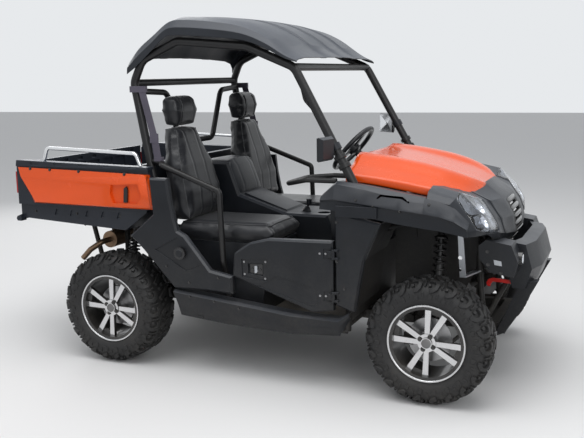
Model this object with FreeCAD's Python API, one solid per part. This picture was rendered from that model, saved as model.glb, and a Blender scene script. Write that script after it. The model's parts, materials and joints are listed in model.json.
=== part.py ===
"""Side-by-side utility vehicle: two seats, a roof on a tube cage, a tipping cargo bed.

Millimetres. +X forward, +Y left, +Z up; the origin is on the ground under the middle of the machine.
"""
import FreeCAD
import Part
import math
import os

V = FreeCAD.Vector
ALONG_X = V(1, 0, 0)
ALONG_Y = V(0, 1, 0)
ALONG_Z = V(0, 0, 1)

# Driving dimensions
wheelbase = 1860.0
rear_axle_x = -840.0
front_axle_x = rear_axle_x + wheelbase
overall_width = 1500.0
tyre_diameter = 640.0
front_tyre_width = 220.0
rear_tyre_width = 260.0
rim_diameter = 392.0
bead_diameter = 356.0
lug_height = 13.0
gap = 0.3                    # fit between pieces that seat on each other
moving_gap = 6.0             # between pieces that move past each other
panel_wall = 5.0
hub_z = tyre_diameter / 2
side_y = overall_width / 2
kingpin_y = side_y - 165     # from the middle plane to each front wheel's steering axis
cage_tube = 23.0             # radius of the cage's tubes
frame_tube = 19.0


def save(name, solids):
    """Writes one node; solids that don't touch share it."""
    solids = [piece for shape in solids for piece in shape.Solids]
    shape = solids[0] if len(solids) == 1 else Part.makeCompound(solids)
    shape.exportStep("parts/" + name + ".step")


def fuse(shapes):
    """One solid from pieces that touch or overlap."""
    return shapes[0].multiFuse(shapes[1:]).removeSplitter()


def mirrored(shape):
    """The same shape on the other side of the machine."""
    return shape.mirror(V(0, 0, 0), ALONG_Y)


def pair(shape):
    return [shape, mirrored(shape)]


def largest(shape):
    return max(shape.Solids, key=lambda solid: solid.Volume)


def box(x0, x1, y0, y1, z0, z1):
    return Part.makeBox(x1 - x0, y1 - y0, z1 - z0, V(x0, y0, z0))


def polygon(points):
    return Part.makePolygon(points + [points[0]])


def plate_xz(outline, y0, y1):
    """A plate with an outline of (x, z) points, from y0 to y1."""
    return Part.Face(polygon([V(x, y0, z) for x, z in outline])).extrude(V(0, y1 - y0, 0))


def plate_xy(outline, z0, z1):
    return Part.Face(polygon([V(x, y, z0) for x, y in outline])).extrude(V(0, 0, z1 - z0))


def plate_yz(outline, x0, x1):
    return Part.Face(polygon([V(x0, y, z) for y, z in outline])).extrude(V(x1 - x0, 0, 0))


def inset(points, distance):
    """A closed outline moved inwards by a distance; points run either way round."""
    count = len(points)
    area = sum(points[i][0] * points[(i + 1) % count][1] - points[(i + 1) % count][0] * points[i][1]
               for i in range(count))
    side = distance if area > 0 else -distance
    moved = []
    for i in range(count):
        moved.append(mitre(points[i - 1], points[i], points[(i + 1) % count], side))
    return moved


def mitre(before, here, after, side):
    """The corner between two edges, each moved to its left by side."""
    first = math.atan2(here[1] - before[1], here[0] - before[0])
    second = math.atan2(after[1] - here[1], after[0] - here[0])
    bisector = (math.cos(first) + math.cos(second), math.sin(first) + math.sin(second))
    length = math.hypot(bisector[0], bisector[1])
    half = math.cos((second - first) / 2)
    reach = side / max(abs(half), 0.3)
    return (here[0] - bisector[1] / length * reach, here[1] + bisector[0] / length * reach)


def skin_outline(points, wall):
    """An open line of points made a closed strip, the wall to its right-hand side."""
    ends = [(2 * points[0][0] - points[1][0], 2 * points[0][1] - points[1][1])]
    ends.append((2 * points[-1][0] - points[-2][0], 2 * points[-1][1] - points[-2][1]))
    line = [ends[0]] + list(points) + [ends[1]]
    inner = [mitre(line[i - 1], line[i], line[i + 1], -wall) for i in range(1, len(line) - 1)]
    return list(points) + inner[::-1]


def loft(wires):
    return Part.makeLoft(wires, True, True)


def bevelled_plate(outline, y_in, y_edge, y_out, bevel):
    """A side panel: straight sides, then a bevel round its outer face."""
    body = plate_xz(outline, y_in, y_edge)
    face = inset(outline, bevel)
    crown = loft([polygon([V(x, y_edge, z) for x, z in outline]), polygon([V(x, y_out, z) for x, z in face])])
    return fuse([body, crown])


def rod(start, end, radius):
    start = V(*start)
    end = V(*end)
    return Part.makeCylinder(radius, (end - start).Length, start, end - start)


def tube(points, radius, bend):
    """A round bar along straight runs joined by arcs of the bend radius."""
    points = [V(*point) for point in points]
    edges = []
    start = points[0]
    for i in range(1, len(points) - 1):
        back = (points[i - 1] - points[i]).normalize()
        ahead = (points[i + 1] - points[i]).normalize()
        half = back.getAngle(ahead) / 2
        reach = bend / math.tan(half)
        middle = (back + ahead).normalize() * (bend / math.sin(half) - bend)
        edges.append(Part.LineSegment(start, points[i] + back * reach).toShape())
        edges.append(Part.Arc(points[i] + back * reach, points[i] + middle, points[i] + ahead * reach).toShape())
        start = points[i] + ahead * reach
    edges.append(Part.LineSegment(start, points[-1]).toShape())
    profile = Part.Wire(Part.Circle(points[0], points[1] - points[0], radius).toShape())
    bar = Part.Wire(edges).makePipeShell([profile], True, False)
    return bar if bar.Volume > 0 else bar.reversed()


def flip(points):
    """The same route on the other side."""
    return [(x, -y, z) for x, y, z in points]


# Wheels: each has a tyre and a rim with its hub and brake disc

TYRE_SIDES = 22


def ring_of_facets(profile, sides):
    """A closed ring about the Y axis with flat facets; profile rows are (radius, y)."""
    faces = []
    for i in range(sides):
        first = 2 * math.pi * i / sides
        second = 2 * math.pi * (i + 1) / sides
        for j in range(len(profile)):
            r0, y0 = profile[j]
            r1, y1 = profile[(j + 1) % len(profile)]
            corners = [V(r0 * math.sin(first), y0, r0 * math.cos(first)),
                       V(r0 * math.sin(second), y0, r0 * math.cos(second)),
                       V(r1 * math.sin(second), y1, r1 * math.cos(second)),
                       V(r1 * math.sin(first), y1, r1 * math.cos(first))]
            faces.append(Part.Face(polygon(corners)))
    return Part.Solid(Part.makeShell(faces))


def lug(outline, base, slope, height, degrees):
    """A tread lug on a flat facet: an outline of (along, y), the facet's distance from the axle at y = 0 and
    what it loses for each millimetre of y."""
    top = inset(outline, 3.0)
    lower = [V(x, y, base - slope * y - 3) for x, y in outline]
    upper = [V(x, y, base - slope * y + height) for x, y in top]
    block = frustum(lower, upper)
    block.rotate(V(0, 0, 0), ALONG_Y, degrees)
    return block


def frustum(lower, upper):
    """A solid with flat sides between two outlines whose edges run parallel."""
    count = len(lower)
    faces = [Part.Face(polygon(lower)), Part.Face(polygon(upper))]
    for i in range(count):
        j = (i + 1) % count
        faces.append(Part.Face(polygon([lower[i], lower[j], upper[j], upper[i]])))
    solid = Part.Solid(Part.makeShell(faces))
    return solid if solid.Volume > 0 else solid.reversed()


SHOULDER_IN = 62.0           # from the tyre's side in to the edge of its flat crown
SHOULDER_OUT = 12.0
SHOULDER_DROP = 24.0


def tyre(width):
    """A tyre centred on the origin, its tread lugs in three rows, each lug inside one facet."""
    crown = tyre_diameter / 2 - lug_height
    half = width / 2
    seat = bead_diameter / 2 + gap
    bead = RIM_WIDTH[width] / 2 - RIM_FLANGE - gap
    lip = rim_diameter / 2 + gap
    round_factor = math.cos(math.pi / TYRE_SIDES)
    outer_half = [(crown, half - SHOULDER_IN), (crown - SHOULDER_DROP, half - SHOULDER_OUT), (crown - 62, half),
                  (lip / round_factor, bead), (seat / round_factor, bead)]
    profile = outer_half[::-1] + [(radius, -y) for radius, y in outer_half]
    shape = ring_of_facets(profile, TYRE_SIDES)
    pitch = 360.0 / TYRE_SIDES
    flat = crown * round_factor
    slope = SHOULDER_DROP * round_factor / (SHOULDER_IN - SHOULDER_OUT)
    base = flat + slope * (half - SHOULDER_IN)
    inner = half - SHOULDER_IN + 5
    outer = half - SHOULDER_OUT - 3
    shoulder = [(-34, inner), (4, inner + 4), (14, outer), (-30, outer - 3)]
    reach = half - SHOULDER_IN - 12
    middle = [(-20, -reach), (8, -reach - 5), (22, reach), (-6, reach + 5)]
    corner = math.sqrt((tyre_diameter / 2) ** 2 - 22 ** 2)
    lugs = []
    for i in range(TYRE_SIDES):
        degrees = (i + 0.5) * pitch
        lugs.append(lug(shoulder, base, slope, lug_height + 4, degrees))
        lugs.append(lug([(-x, -y) for x, y in shoulder], base, -slope, lug_height + 4, degrees))
        lugs.append(lug(middle, flat, 0, corner - flat, degrees))
    return shape.multiFuse(lugs)


RIM_FLANGE = 7.0
RIM_WIDTH = {front_tyre_width: 188.0, rear_tyre_width: 216.0}
HUB_FACE = 24.0              # from the rim's outer edge in to the front of its spokes
SPOKES = 8
SPOKE_LEAN = 15.0            # of each spoke from the middle of its pair, in degrees
PAIR_START = 17.0


def spoke(start_degrees, front):
    """One arm from the hub to the barrel, set in from the rim's edge."""
    root = 30.0
    tip = bead_diameter / 2 - 2
    outline = [V(root, 0, -12), V(tip, 0, -15), V(tip, 0, 15), V(root, 0, 12)]
    return turned_arm(outline, 22, front, start_degrees)


def turned_arm(outline, thick, front, degrees):
    """A flat piece behind the wheel's face, turned about its axle."""
    arm = Part.Face(polygon(outline)).extrude(V(0, -thick, 0))
    arm.translate(V(0, front, 0))
    arm.rotate(V(0, 0, 0), ALONG_Y, degrees)
    return arm


def spoke_pair(degrees, front):
    """Two spokes joined at their outer ends by a sunk wedge."""
    tip = bead_diameter / 2 - 2
    wedge = [V(tip - 30, 0, -34), V(tip - 8, 0, -40), V(tip - 1, 0, 0), V(tip - 8, 0, 40), V(tip - 30, 0, 34)]
    return [spoke(degrees - SPOKE_LEAN, front), spoke(degrees + SPOKE_LEAN, front),
            turned_arm(wedge, 14, front - 6, degrees)]


def rim(width):
    """A rim with four pairs of spokes, its outer side to +Y, the middle of the tyre at the origin."""
    half = RIM_WIDTH[width] / 2
    lip = rim_diameter / 2
    seat = bead_diameter / 2
    wall = 6.0
    section = [(lip, half), (lip, half - RIM_FLANGE), (seat, half - RIM_FLANGE), (seat, RIM_FLANGE - half),
               (lip, RIM_FLANGE - half), (lip, -half), (seat - wall, -half), (seat - wall, half - wall)]
    barrel = Part.Face(polygon([V(r, y, 0) for r, y in section])).revolve(V(0, 0, 0), ALONG_Y, 360)
    front = half - HUB_FACE
    hub = Part.makeCylinder(46, 30, V(0, front - 26, 0), ALONG_Y)
    cap = Part.makeCylinder(28, 10, V(0, front + 2, 0), ALONG_Y)
    arms = []
    for i in range(SPOKES // 2):
        arms += spoke_pair(PAIR_START + 90 * i, front)
    return fuse([barrel, hub, cap] + arms)


DISC_RADIUS = 112.0
DISC_THICK = 5.0
DISC_Y = kingpin_y + 55      # inner face of the brake discs


def brake_disc(front):
    """The disc and the bell that carries it against the back of the rim's hub."""
    disc = Part.makeCylinder(DISC_RADIUS, DISC_THICK, V(0, 0, 0), ALONG_Y)
    bell = Part.makeCylinder(52, front - DISC_Y, V(0, 0, 0), ALONG_Y)
    disc = fuse([disc, bell])
    disc.translate(V(0, DISC_Y, 0))
    return disc


def wheels():
    for width in (front_tyre_width, rear_tyre_width):
        middle = side_y - width / 2
        axle = front_axle_x if width == front_tyre_width else rear_axle_x
        hub_back = middle + RIM_WIDTH[width] / 2 - HUB_FACE - 26
        shapes = {"tyre": tyre(width), "rim": rim(width), "disc": brake_disc(hub_back - gap)}
        shapes["tyre"].translate(V(axle, middle, hub_z))
        shapes["rim"].translate(V(axle, middle, hub_z))
        shapes["disc"].translate(V(axle, 0, hub_z))
        for kind, shape in shapes.items():
            end = "front" if width == front_tyre_width else "rear"
            save(kind + "_" + end + "_left", [shape])
            save(kind + "_" + end + "_right", [mirrored(shape)])


# Axles: gearcase, half shafts, two arms a side with their shocks, and the knuckles

# name, axle x, then each shock's head as (y, z)
AXLES = (("front", front_axle_x, (375.0, 838.0)), ("rear", rear_axle_x, (395.0, 738.0)))
rail_y = 240.0               # middle of each lower rail
rail_half = 22.0
rail_top = 323.0
rail_bottom = 283.0
pivot_rod = 12.0
# y, z and distance from the axle of the sleeves of each arm
upper_pivot = (262.0, 445.0, 130.0)
lower_pivot = (290.0, 315.0, 150.0)
ear_reach = 95.0             # from the hub's height to the outer face of each ear
ball_height = 26.0
arm_tube = 10.0
carrier_y = (kingpin_y + 31, DISC_Y - moving_gap)
steering_arm = 105.0
tie_rod_z = hub_z + 22.0
shock_x = -10.0              # from the axle to the shock's middle
shock_foot = (kingpin_y - 110, hub_z + 142)
shock_pin = 8.0


def knuckle(axle_x, steered):
    """Hub carrier with two ears on the steering axis and the brake caliper."""
    y0, y1 = carrier_y
    low = hub_z - ear_reach
    high = hub_z + ear_reach
    shapes = [rod((axle_x, y0, hub_z), (axle_x, y1, hub_z), 50),
              rod((axle_x, y1, hub_z), (axle_x, DISC_Y - gap, hub_z), 30),
              box(axle_x - 17, axle_x + 17, y0, y1, low, high)]
    for z0 in (low, high - 18):
        shapes.append(box(axle_x - 15, axle_x + 15, kingpin_y, y0 + 5, z0, z0 + 18))
        shapes.append(rod((axle_x, kingpin_y, z0), (axle_x, kingpin_y, z0 + 18), 17))
    reach = DISC_RADIUS + moving_gap
    shapes.append(box(axle_x - reach - 9, axle_x - 42, y0 - 4, y1, hub_z - 30, hub_z + 30))
    shapes.append(box(axle_x - reach - 9, axle_x - reach, y1 - 2, DISC_Y + 30, hub_z - 30, hub_z + 30))
    outer_pad = DISC_Y + DISC_THICK + moving_gap
    shapes.append(box(axle_x - reach - 5, axle_x - 78, outer_pad, DISC_Y + 30, hub_z - 30, hub_z + 30))
    if steered:
        arm = plate_xy([(axle_x - steering_arm - 8, kingpin_y - 20), (axle_x - steering_arm + 13, kingpin_y - 20),
                        (axle_x - 34, y0 - 4), (axle_x - 20, y1), (axle_x - 48, y1)],
                       hub_z + 2, tie_rod_z - 8 - gap)
        end = rod((axle_x - steering_arm, kingpin_y - 8, hub_z + 2),
                  (axle_x - steering_arm, kingpin_y - 8, tie_rod_z - 8 - gap), 14)
        shapes += [arm, end]
    return fuse(shapes)


def arm(axle_x, pivot, ball_z, leg_z, clevis):
    """An A-shaped arm from its two sleeves to the ball joint at the knuckle's ear."""
    y, z, spread = pivot
    shapes = [rod((axle_x, kingpin_y, ball_z), (axle_x, kingpin_y, ball_z + ball_height), 18)]
    holes = []
    for side in (-1, 1):
        x = axle_x + side * spread
        shapes.append(rod((axle_x, kingpin_y, leg_z), (x, y, z), arm_tube))
        shapes.append(rod((x - 18, y, z), (x + 18, y, z), pivot_rod + 8))
        holes.append(rod((x - 30, y, z), (x + 30, y, z), pivot_rod + gap))
    if clevis:
        foot_y, foot_z = shock_foot
        shapes.append(box(axle_x - 50, axle_x + 40, foot_y - 20, foot_y + 22, foot_z - 36, foot_z - 26))
        for x in (axle_x + shock_x - 32, axle_x + shock_x + 22):
            shapes.append(box(x, x + 10, foot_y - 12, foot_y + 12, foot_z - 30, foot_z + 12))
        pin = axle_x + shock_x
        shapes.append(rod((pin - 30, foot_y, foot_z), (pin + 30, foot_y, foot_z), shock_pin))
    return fuse(shapes).cut(holes[0]).cut(holes[1])


def arms(axle_x):
    """Upper and lower arm of the left side."""
    high = hub_z + ear_reach + gap
    low = hub_z - ear_reach - gap - ball_height
    return [arm(axle_x, upper_pivot, high, high + ball_height - arm_tube - 1, True),
            arm(axle_x, lower_pivot, low, low + 7, False)]


SPRING_TURNS = 8


def shock(axle_x, shock_head):
    """Damper and spring between the upper arm's clevis and the frame's tower."""
    x = axle_x + shock_x
    foot = V(x, shock_foot[0], shock_foot[1])
    head = V(x, shock_head[0], shock_head[1])
    along = (head - foot).normalize()
    length = (head - foot).Length
    shapes = []
    # start and end along the shock, radius
    for start, end, radius in ((10, 80, 19), (60, 72, 36), (70, length - 50, 22), (length - 60, length - 48, 36),
                               (length - 50, length - 10, 17)):
        shapes.append(Part.makeCylinder(radius, end - start, foot + along * start, along))
    pitch = (length - 60 - 72) / SPRING_TURNS
    for i in range(SPRING_TURNS):
        coil = Part.makeCylinder(34, pitch * 0.5, foot + along * (72 + (i + 0.25) * pitch), along)
        shapes.append(coil)
    for end in (foot, head):
        shapes.append(rod((x - 20, end.y, end.z), (x + 20, end.y, end.z), 17))
    shape = fuse(shapes)
    for end in (foot, head):
        shape = shape.cut(rod((x - 30, end.y, end.z), (x + 30, end.y, end.z), shock_pin + gap))
    return shape


case_y = 125.0
case_z = 392.0


def half_shaft(axle_x):
    start = V(axle_x, case_y + gap, case_z)
    end = V(axle_x, kingpin_y, hub_z)
    along = (end - start).normalize()
    length = (end - start).Length
    shaft = Part.makeCylinder(12, length, start, along)
    inner = Part.makeCone(36, 17, 80, start, along)
    outer = Part.makeCone(17, 25, 70, start + along * (length - 78), along)
    folds = [Part.makeCylinder(36 - 5.5 * i, 6, start + along * (14 + 20 * i), along) for i in range(3)]
    ball = Part.makeSphere(25, end)
    trim = box(axle_x - 60, axle_x + 60, case_y + gap, kingpin_y + 60, hub_z - 60, case_z + 60)
    return fuse([shaft, inner, outer, ball] + folds).common(trim)


def gearcases():
    """Front and rear final drives, each on its cross member."""
    # axle x, half length, half width, top
    cases = []
    for axle_x, half_x, half_y, top in ((front_axle_x, 68, 88, 462), (rear_axle_x, 92, 108, 488)):
        bottom = rail_top + gap
        lower = [(axle_x - half_x, bottom), (axle_x + half_x, bottom), (axle_x + half_x, top - 60),
                 (axle_x + half_x - 40, top), (axle_x - half_x + 40, top), (axle_x - half_x, top - 60)]
        case = plate_xz(lower, -half_y, half_y)
        boss = rod((axle_x, -case_y, case_z), (axle_x, case_y, case_z), 40)
        cases.append(fuse([case, boss]))
    return cases


ladder_x = (-1200.0, 1290.0)
member_half = 22.0
skid_wall = 6.0
tower_y = 290.0              # heads of the tower's legs, and how far they stand before and behind the axle
tower_reach = 150.0
tower_tube = 17.0
tower_foot = (250.0, 312.0)  # y, z
brace_tube = 14.0
front_tower_top = 850.0
bed_rail_y = 300.0
bed_rail_tube = 18.0
nose = (1330.0, 215.0, 560.0)
ear_x = (172.0, 190.0)       # ears that carry the lower arms' pivot rods, from the axle


def ladder():
    """Two rails, the cross members between them and the skid plate below."""
    x0, x1 = ladder_x
    outer = rail_y + rail_half
    inner = rail_y - rail_half
    pieces = pair(box(x0, x1, inner, outer, rail_bottom, rail_top))
    for x in (x0 + member_half, rear_axle_x, -560, -330, 100, 540, rack_x, front_axle_x, x1 - member_half):
        pieces.append(box(x - member_half, x + member_half, -inner, inner, rail_bottom, rail_top))
    pieces.append(box(x0, x1, -outer, outer, rail_bottom - skid_wall, rail_bottom))
    return pieces


def tower_leg(axle_x, side, top):
    """Foot and head of the leg before (side 1) or behind the axle."""
    return (axle_x + side * ear_x[1], tower_foot[0], tower_foot[1]), (axle_x + side * tower_reach, tower_y, top)


def frame_brace():
    """From the front tower to the windscreen post."""
    return (front_axle_x - tower_reach, tower_y, front_tower_top), toward(a_socket, a_foot, 215)


def tower(axle_x, shock_head, top):
    """Four legs over an axle, half of them here, with the rods that carry the arms and the shock."""
    tubes = []
    ears = []
    for side in (-1, 1):
        tubes.append(tower_leg(axle_x, side, top) + (tower_tube,))
        ears.append(box(*sorted((axle_x + side * ear_x[0], axle_x + side * ear_x[1])),
                        rail_y + rail_half, lower_pivot[0] + 18, rail_bottom + 12, rail_top + 10))
    head_y, head_z = shock_head
    pin = axle_x + shock_x
    for side in (-1, 1):
        tubes.append(((axle_x + side * tower_reach, tower_y, top), (pin + side * 36, head_y, head_z), 13))
    tubes.append(((pin - 40, head_y, head_z), (pin + 40, head_y, head_z), shock_pin))
    for y, z, reach in (upper_pivot, lower_pivot):
        tubes.append(((axle_x - ear_x[1], y, z), (axle_x + ear_x[1], y, z), pivot_rod))
    return tubes, ears


def frame_tubes():
    """The tubes of the left side as (start, end, radius), the ones that carry others first."""
    rear_end = (ladder_x[0] + member_half, rail_y, 305)
    bed_end = (bed_hinge_x + 50, bed_rail_y, bed_rail_z)
    front_head = (front_axle_x - tower_reach, tower_y, front_tower_top)
    nose_head = (front_axle_x + tower_reach, tower_y, front_tower_top)
    tubes = [(b_foot, a_foot, side_tube), (a_foot, a_socket, frame_tube), (b_foot, b_socket, frame_tube),
             ((-475, bed_rail_y, bed_rail_z), (bed_hinge_x + 35, bed_rail_y, bed_rail_z), bed_rail_tube),
             (front_head, nose_head, 15)]
    for x in (-330, 100, 540):
        tubes.append(((x, rail_y, 304), (x, sill_rail_y, 304), 16))
    tubes.append(frame_brace() + (brace_tube,))
    tubes.append(((-490, bed_rail_y, bed_rail_z), (-490, b_socket[1], 700), 16))
    tubes.append((rear_end, bed_end, 15))
    tubes.append((tower_leg(front_axle_x, 1, front_tower_top)[0], nose, 15))
    tubes.append((nose_head, nose, 13))
    return tubes


def frame():
    """Ladder, side tubes, posts and towers: each welded piece is a solid of its own."""
    pieces = ladder()
    tubes = frame_tubes()
    ears = []
    for (end, axle_x, shock_head), top in zip(AXLES, (front_tower_top, bed_rail_z)):
        more, plates = tower(axle_x, shock_head, top)
        tubes += more
        ears += plates
    for plate in ears:
        pieces += pair(plate)
    for start, end, radius in tubes:
        bar = rod(start, end, radius)
        pieces += pair(bar)
    # across: x, y at the ends, z, radius
    for x, y, z, radius in ((-490, bed_rail_y, bed_rail_z, 15), (rear_axle_x, bed_rail_y, bed_rail_z, 15),
                            (bed_hinge_x + 50, bed_rail_y, bed_rail_z, 16),
                            (front_axle_x - tower_reach, tower_y, front_tower_top, 13),
                            (front_axle_x + tower_reach, tower_y, front_tower_top, 13),
                            (nose[0], nose[1], nose[2], 17)):
        pieces.append(rod((x, -y, z), (x, y, z), radius))
    plate = box(bed_hinge_x - 22, bed_hinge_x + 50, bed_rail_y - 8, bed_rail_y + 8, bed_rail_z - 20, bed_rail_z + 20)
    pin = rod((bed_hinge_x, bed_rail_y - 30, bed_hinge_z), (bed_hinge_x, bed_rail_y + 30, bed_hinge_z), bed_pin)
    pieces += pair(fuse([plate, pin]))
    return welded(pieces)


def welded(pieces):
    """Pieces that meet, each cut by those before it, so that none overlap."""
    kept = []
    for piece in pieces:
        for other in kept:
            if piece.BoundBox.intersect(other.BoundBox):
                piece = piece.cut(other)
        kept.append(largest(piece))
    return kept


# Cage, roof and grab bars

sill_rail_y = 600.0
side_tube = 18.0
a_foot = (570.0, 600.0, 304.0)
b_foot = (-400.0, 600.0, 304.0)
b_socket = (-545.0, 607.0, 905.0)
a_socket = (640.0, 612.0, 1030.0)
rack_x = front_axle_x - steering_arm
bed_rail_z = 735.0
bed_hinge_x = -1290.0
bed_hinge_z = 735.0
bed_pin = 12.0

cage_route = [a_socket, (285, 588, 1668), (20, 588, 1778), (-400, 588, 1818), (-625, 596, 1722),
              (-680, 602, 1600), b_socket]


def cage_side():
    """One side of the cage, its feet cut to seat on the ends of the frame's posts."""
    side = tube([toward(a_socket, cage_route[1], -30)] + cage_route[1:-1] + [toward(b_socket, cage_route[-2], -30)],
                cage_tube, 90)
    for foot, socket in ((a_foot, a_socket), (b_foot, b_socket)):
        start = V(*toward(socket, foot, -gap))
        side = side.cut(Part.makeCylinder(cage_tube * 2, 80, start, V(*foot) - V(*socket)))
    return largest(side)


def toward(start, end, distance):
    """The point at a distance from start on the way to end."""
    start = V(*start)
    point = start + (V(*end) - start).normalize() * distance
    return (point.x, point.y, point.z)


def roll_cage():
    """Both sides, the cross tubes and the dipped tube behind the shoulders."""
    shapes = pair(cage_side())
    for x, y, z in ((285, 588, 1668), (-400, 588, 1818), (-680, 602, 1600)):
        shapes.append(rod((x, -y, z), (x, y, z), cage_tube - 3))
    dip = [(-668, -602, 1555), (-640, -330, 1540), (-640, -200, 1240), (-640, 200, 1240), (-640, 330, 1540),
           (-668, 602, 1555)]
    shapes.append(tube(dip, 17, 60))
    return fuse(shapes)


# Roof sections: x, lower edge z, rim z, crown z, depth of the grooves
ROOF = (
    (-705, 1648, 1712, 1742, 1),
    (-640, 1690, 1785, 1818, 1),
    (-545, 1766, 1853, 1892, 1),
    (-450, 1840, 1918, 1956, 2),
    (-380, 1848, 1930, 1966, 9),
    (-130, 1828, 1906, 1944, 10),
    (20, 1808, 1872, 1908, 10),
    (140, 1766, 1816, 1850, 9),
    (250, 1712, 1742, 1768, 6),
    (318, 1692, 1708, 1724, 2),
)


def roof():
    wires = []
    for x, low, rim_z, crown, groove in ROOF:
        half = [(634, low), (630, (low + rim_z) / 2), (600, rim_z), (520, rim_z + 0.55 * (crown - rim_z)),
                (300, crown - 4), (286, crown - 4 - groove), (214, crown - 3 - groove), (200, crown - 2),
                (44, crown), (32, crown - groove)]
        line = half + [(-y, z) for y, z in half[::-1]]
        strip = skin_outline(line, -panel_wall)
        wires.append(polygon([V(x, y, z) for y, z in strip]))
    shell = loft(wires)
    shapes = [shell]
    for x in (-600, -260, 160):
        low, high = roof_height(x)
        for side in (-1, 1):
            shapes.append(box(x - 25, x + 25, min(side * 570, side * 631), max(side * 570, side * 631),
                              (low + high) / 2 - 20, (low + high) / 2 + 14))
    shell = fuse(shapes)
    for side in pair(tube(cage_route, cage_tube + gap, 90)):
        shell = shell.cut(side)
    return shell


def cage_clearance():
    return tube([a_socket, cage_route[1], cage_route[2]], cage_tube + gap, 90)


def roof_height(x):
    """Lower edge and rim of the roof at x."""
    for before, after in zip(ROOF, ROOF[1:]):
        if before[0] <= x <= after[0]:
            share = (x - before[0]) / (after[0] - before[0])
            return (before[1] + share * (after[1] - before[1]), before[2] + share * (after[2] - before[2]))


hip_tube = 16.0
hip_route = [(-592, 604, 1162), (-522, 611, 1160), (-490, 656, 1150), (-135, 660, 1020), (-122, 660, 640),
             (-122, 602, 480), (-122, 600, 310)]


def grab_bars():
    """A bar beside each seat's hip, one in front of the passenger and a handle on the windscreen pillar."""
    bar = tube(hip_route, hip_tube, 28)
    bar = bar.cut(rod(b_socket, cage_route[-2], cage_tube + gap))
    bar = largest(bar.cut(rod(b_foot, a_foot, side_tube + gap)))
    shapes = pair(bar)
    knee = [(500, -560, 1085), (330, -560, 1085), (190, -480, 1052), (190, -200, 1052), (330, -140, 1060),
            (500, -140, 1060)]
    shapes.append(tube(knee, 14, 40))
    handle = tube([(317, -590, 1617), (326, -543, 1500), (386, -548, 1440), (427, -597, 1440)], 12, 30)
    pillar = rod(flip([a_socket])[0], flip([cage_route[1]])[0], cage_tube + gap)
    shapes.append(largest(handle.cut(pillar)))
    return shapes


# Front body: hood, fascia with its lamps and grille, fenders, cowl panels

# Hood sections: x, half width, then the heights of its lower edge, shoulder, ridge and middle
HOOD = (
    (548, 555, 1088, 1134, 1213, 1201),
    (700, 556, 1072, 1120, 1197, 1181),
    (880, 545, 1042, 1092, 1167, 1146),
    (1010, 520, 1015, 1062, 1133, 1113),
    (1120, 430, 990, 1022, 1089, 1077),
    (1190, 265, 988, 1003, 1047, 1043),
)


def hood():
    """A skin with a ridge over each wheel and the middle sunk between them."""
    wires = []
    for x, half, low, shoulder, ridge, middle in HOOD:
        side = [(half, low), (half - 5, shoulder - 14), (0.94 * half, shoulder),
                (0.78 * half, 0.58 * shoulder + 0.42 * ridge), (0.65 * half, ridge - 9), (0.57 * half, ridge),
                (0.47 * half, ridge - 2), (0.36 * half, middle + 2), (0.12 * half, middle)]
        line = side + [(-y, z) for y, z in side[::-1]]
        strip = skin_outline(line, -panel_wall)
        wires.append(polygon([V(x, y, z) for y, z in strip]))
    return loft(wires)


# Fascia sections: y, then the outline as (x, z) from the hood down to the lower edge
FASCIA = (
    (700, (1010, 1030), (1120, 1008), (1165, 935), (1190, 885), (1192, 855)),
    (655, (1006, 1062), (1138, 1032), (1200, 945), (1238, 885), (1236, 853)),
    (560, (1005, 1080), (1150, 1050), (1248, 952), (1290, 880), (1276, 850)),
    (430, (1040, 1062), (1212, 1004), (1284, 905), (1312, 838), (1290, 802)),
    (300, (1110, 1046), (1250, 978), (1306, 890), (1330, 815), (1300, 745)),
    (150, (1182, 1052), (1284, 974), (1332, 887), (1346, 795), (1294, 702)),
)
lamp_outline = [(1130, 1060), (1225, 1010), (1275, 960), (1335, 850), (1296, 842), (1185, 928)]
lamp_y = (405.0, 650.0)
grille_y = 128.0
grille_z = (722.0, 962.0)
SLATS = 6
band_y = (330.0, 392.0)
band_depth = 2.5


def fascia_skin(wall):
    """The front's outer surface with a wall behind it."""
    rows = list(FASCIA) + [(-row[0],) + row[1:] for row in FASCIA[::-1]]
    wires = []
    for row in rows:
        strip = skin_outline(list(row[1:]), wall)
        wires.append(polygon([V(x, row[0], z) for x, z in strip]))
    return loft(wires)


def grille_opening(shrink):
    y = grille_y - shrink
    z0, z1 = grille_z
    return plate_yz([(-y * 0.72, z0 + shrink), (y * 0.72, z0 + shrink), (y, (z0 + z1) / 2), (y * 0.9, z1 - shrink),
                     (-y * 0.9, z1 - shrink), (-y, (z0 + z1) / 2)], 1200, 1400)


def lamp_prisms(shrink):
    outline = inset(lamp_outline, shrink)
    return pair(plate_xz(outline, lamp_y[0] + shrink, lamp_y[1] - shrink))


def fascia():
    """Mask with the openings of the lamps and the grille and a sunk band beside each lamp."""
    shell = fascia_skin(panel_wall).cut(grille_opening(0))
    surface = fascia_skin(band_depth)
    for prism in lamp_prisms(0):
        shell = shell.cut(prism)
    for strip in pair(box(1000, 1400, band_y[0], band_y[1], 700, 1100)):
        shell = shell.cut(surface.common(strip))
    return largest(shell)


def headlamps():
    """The large lamps in the fascia and the round ones beside the bumper's beam."""
    thick = fascia_skin(34.0)
    return [thick.common(prism) for prism in lamp_prisms(gap)] + pair(fog_lamp())


fog_y = 366.0
fog_z = 700.0
fog_radius = 35.0
fog_x = (1338.0, 1420.0)


def fog_lamp():
    can = Part.makeCylinder(fog_radius, fog_x[1] - fog_x[0], V(fog_x[0], fog_y, fog_z), ALONG_X)
    bowl = Part.makeCone(14, fog_radius - 5, 22, V(fog_x[1] - 20, fog_y, fog_z), ALONG_X)
    return can.cut(bowl)


def fog_clearance():
    return Part.makeCylinder(fog_radius + gap, 200, V(fog_x[0] - gap, fog_y, fog_z), ALONG_X)


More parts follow.
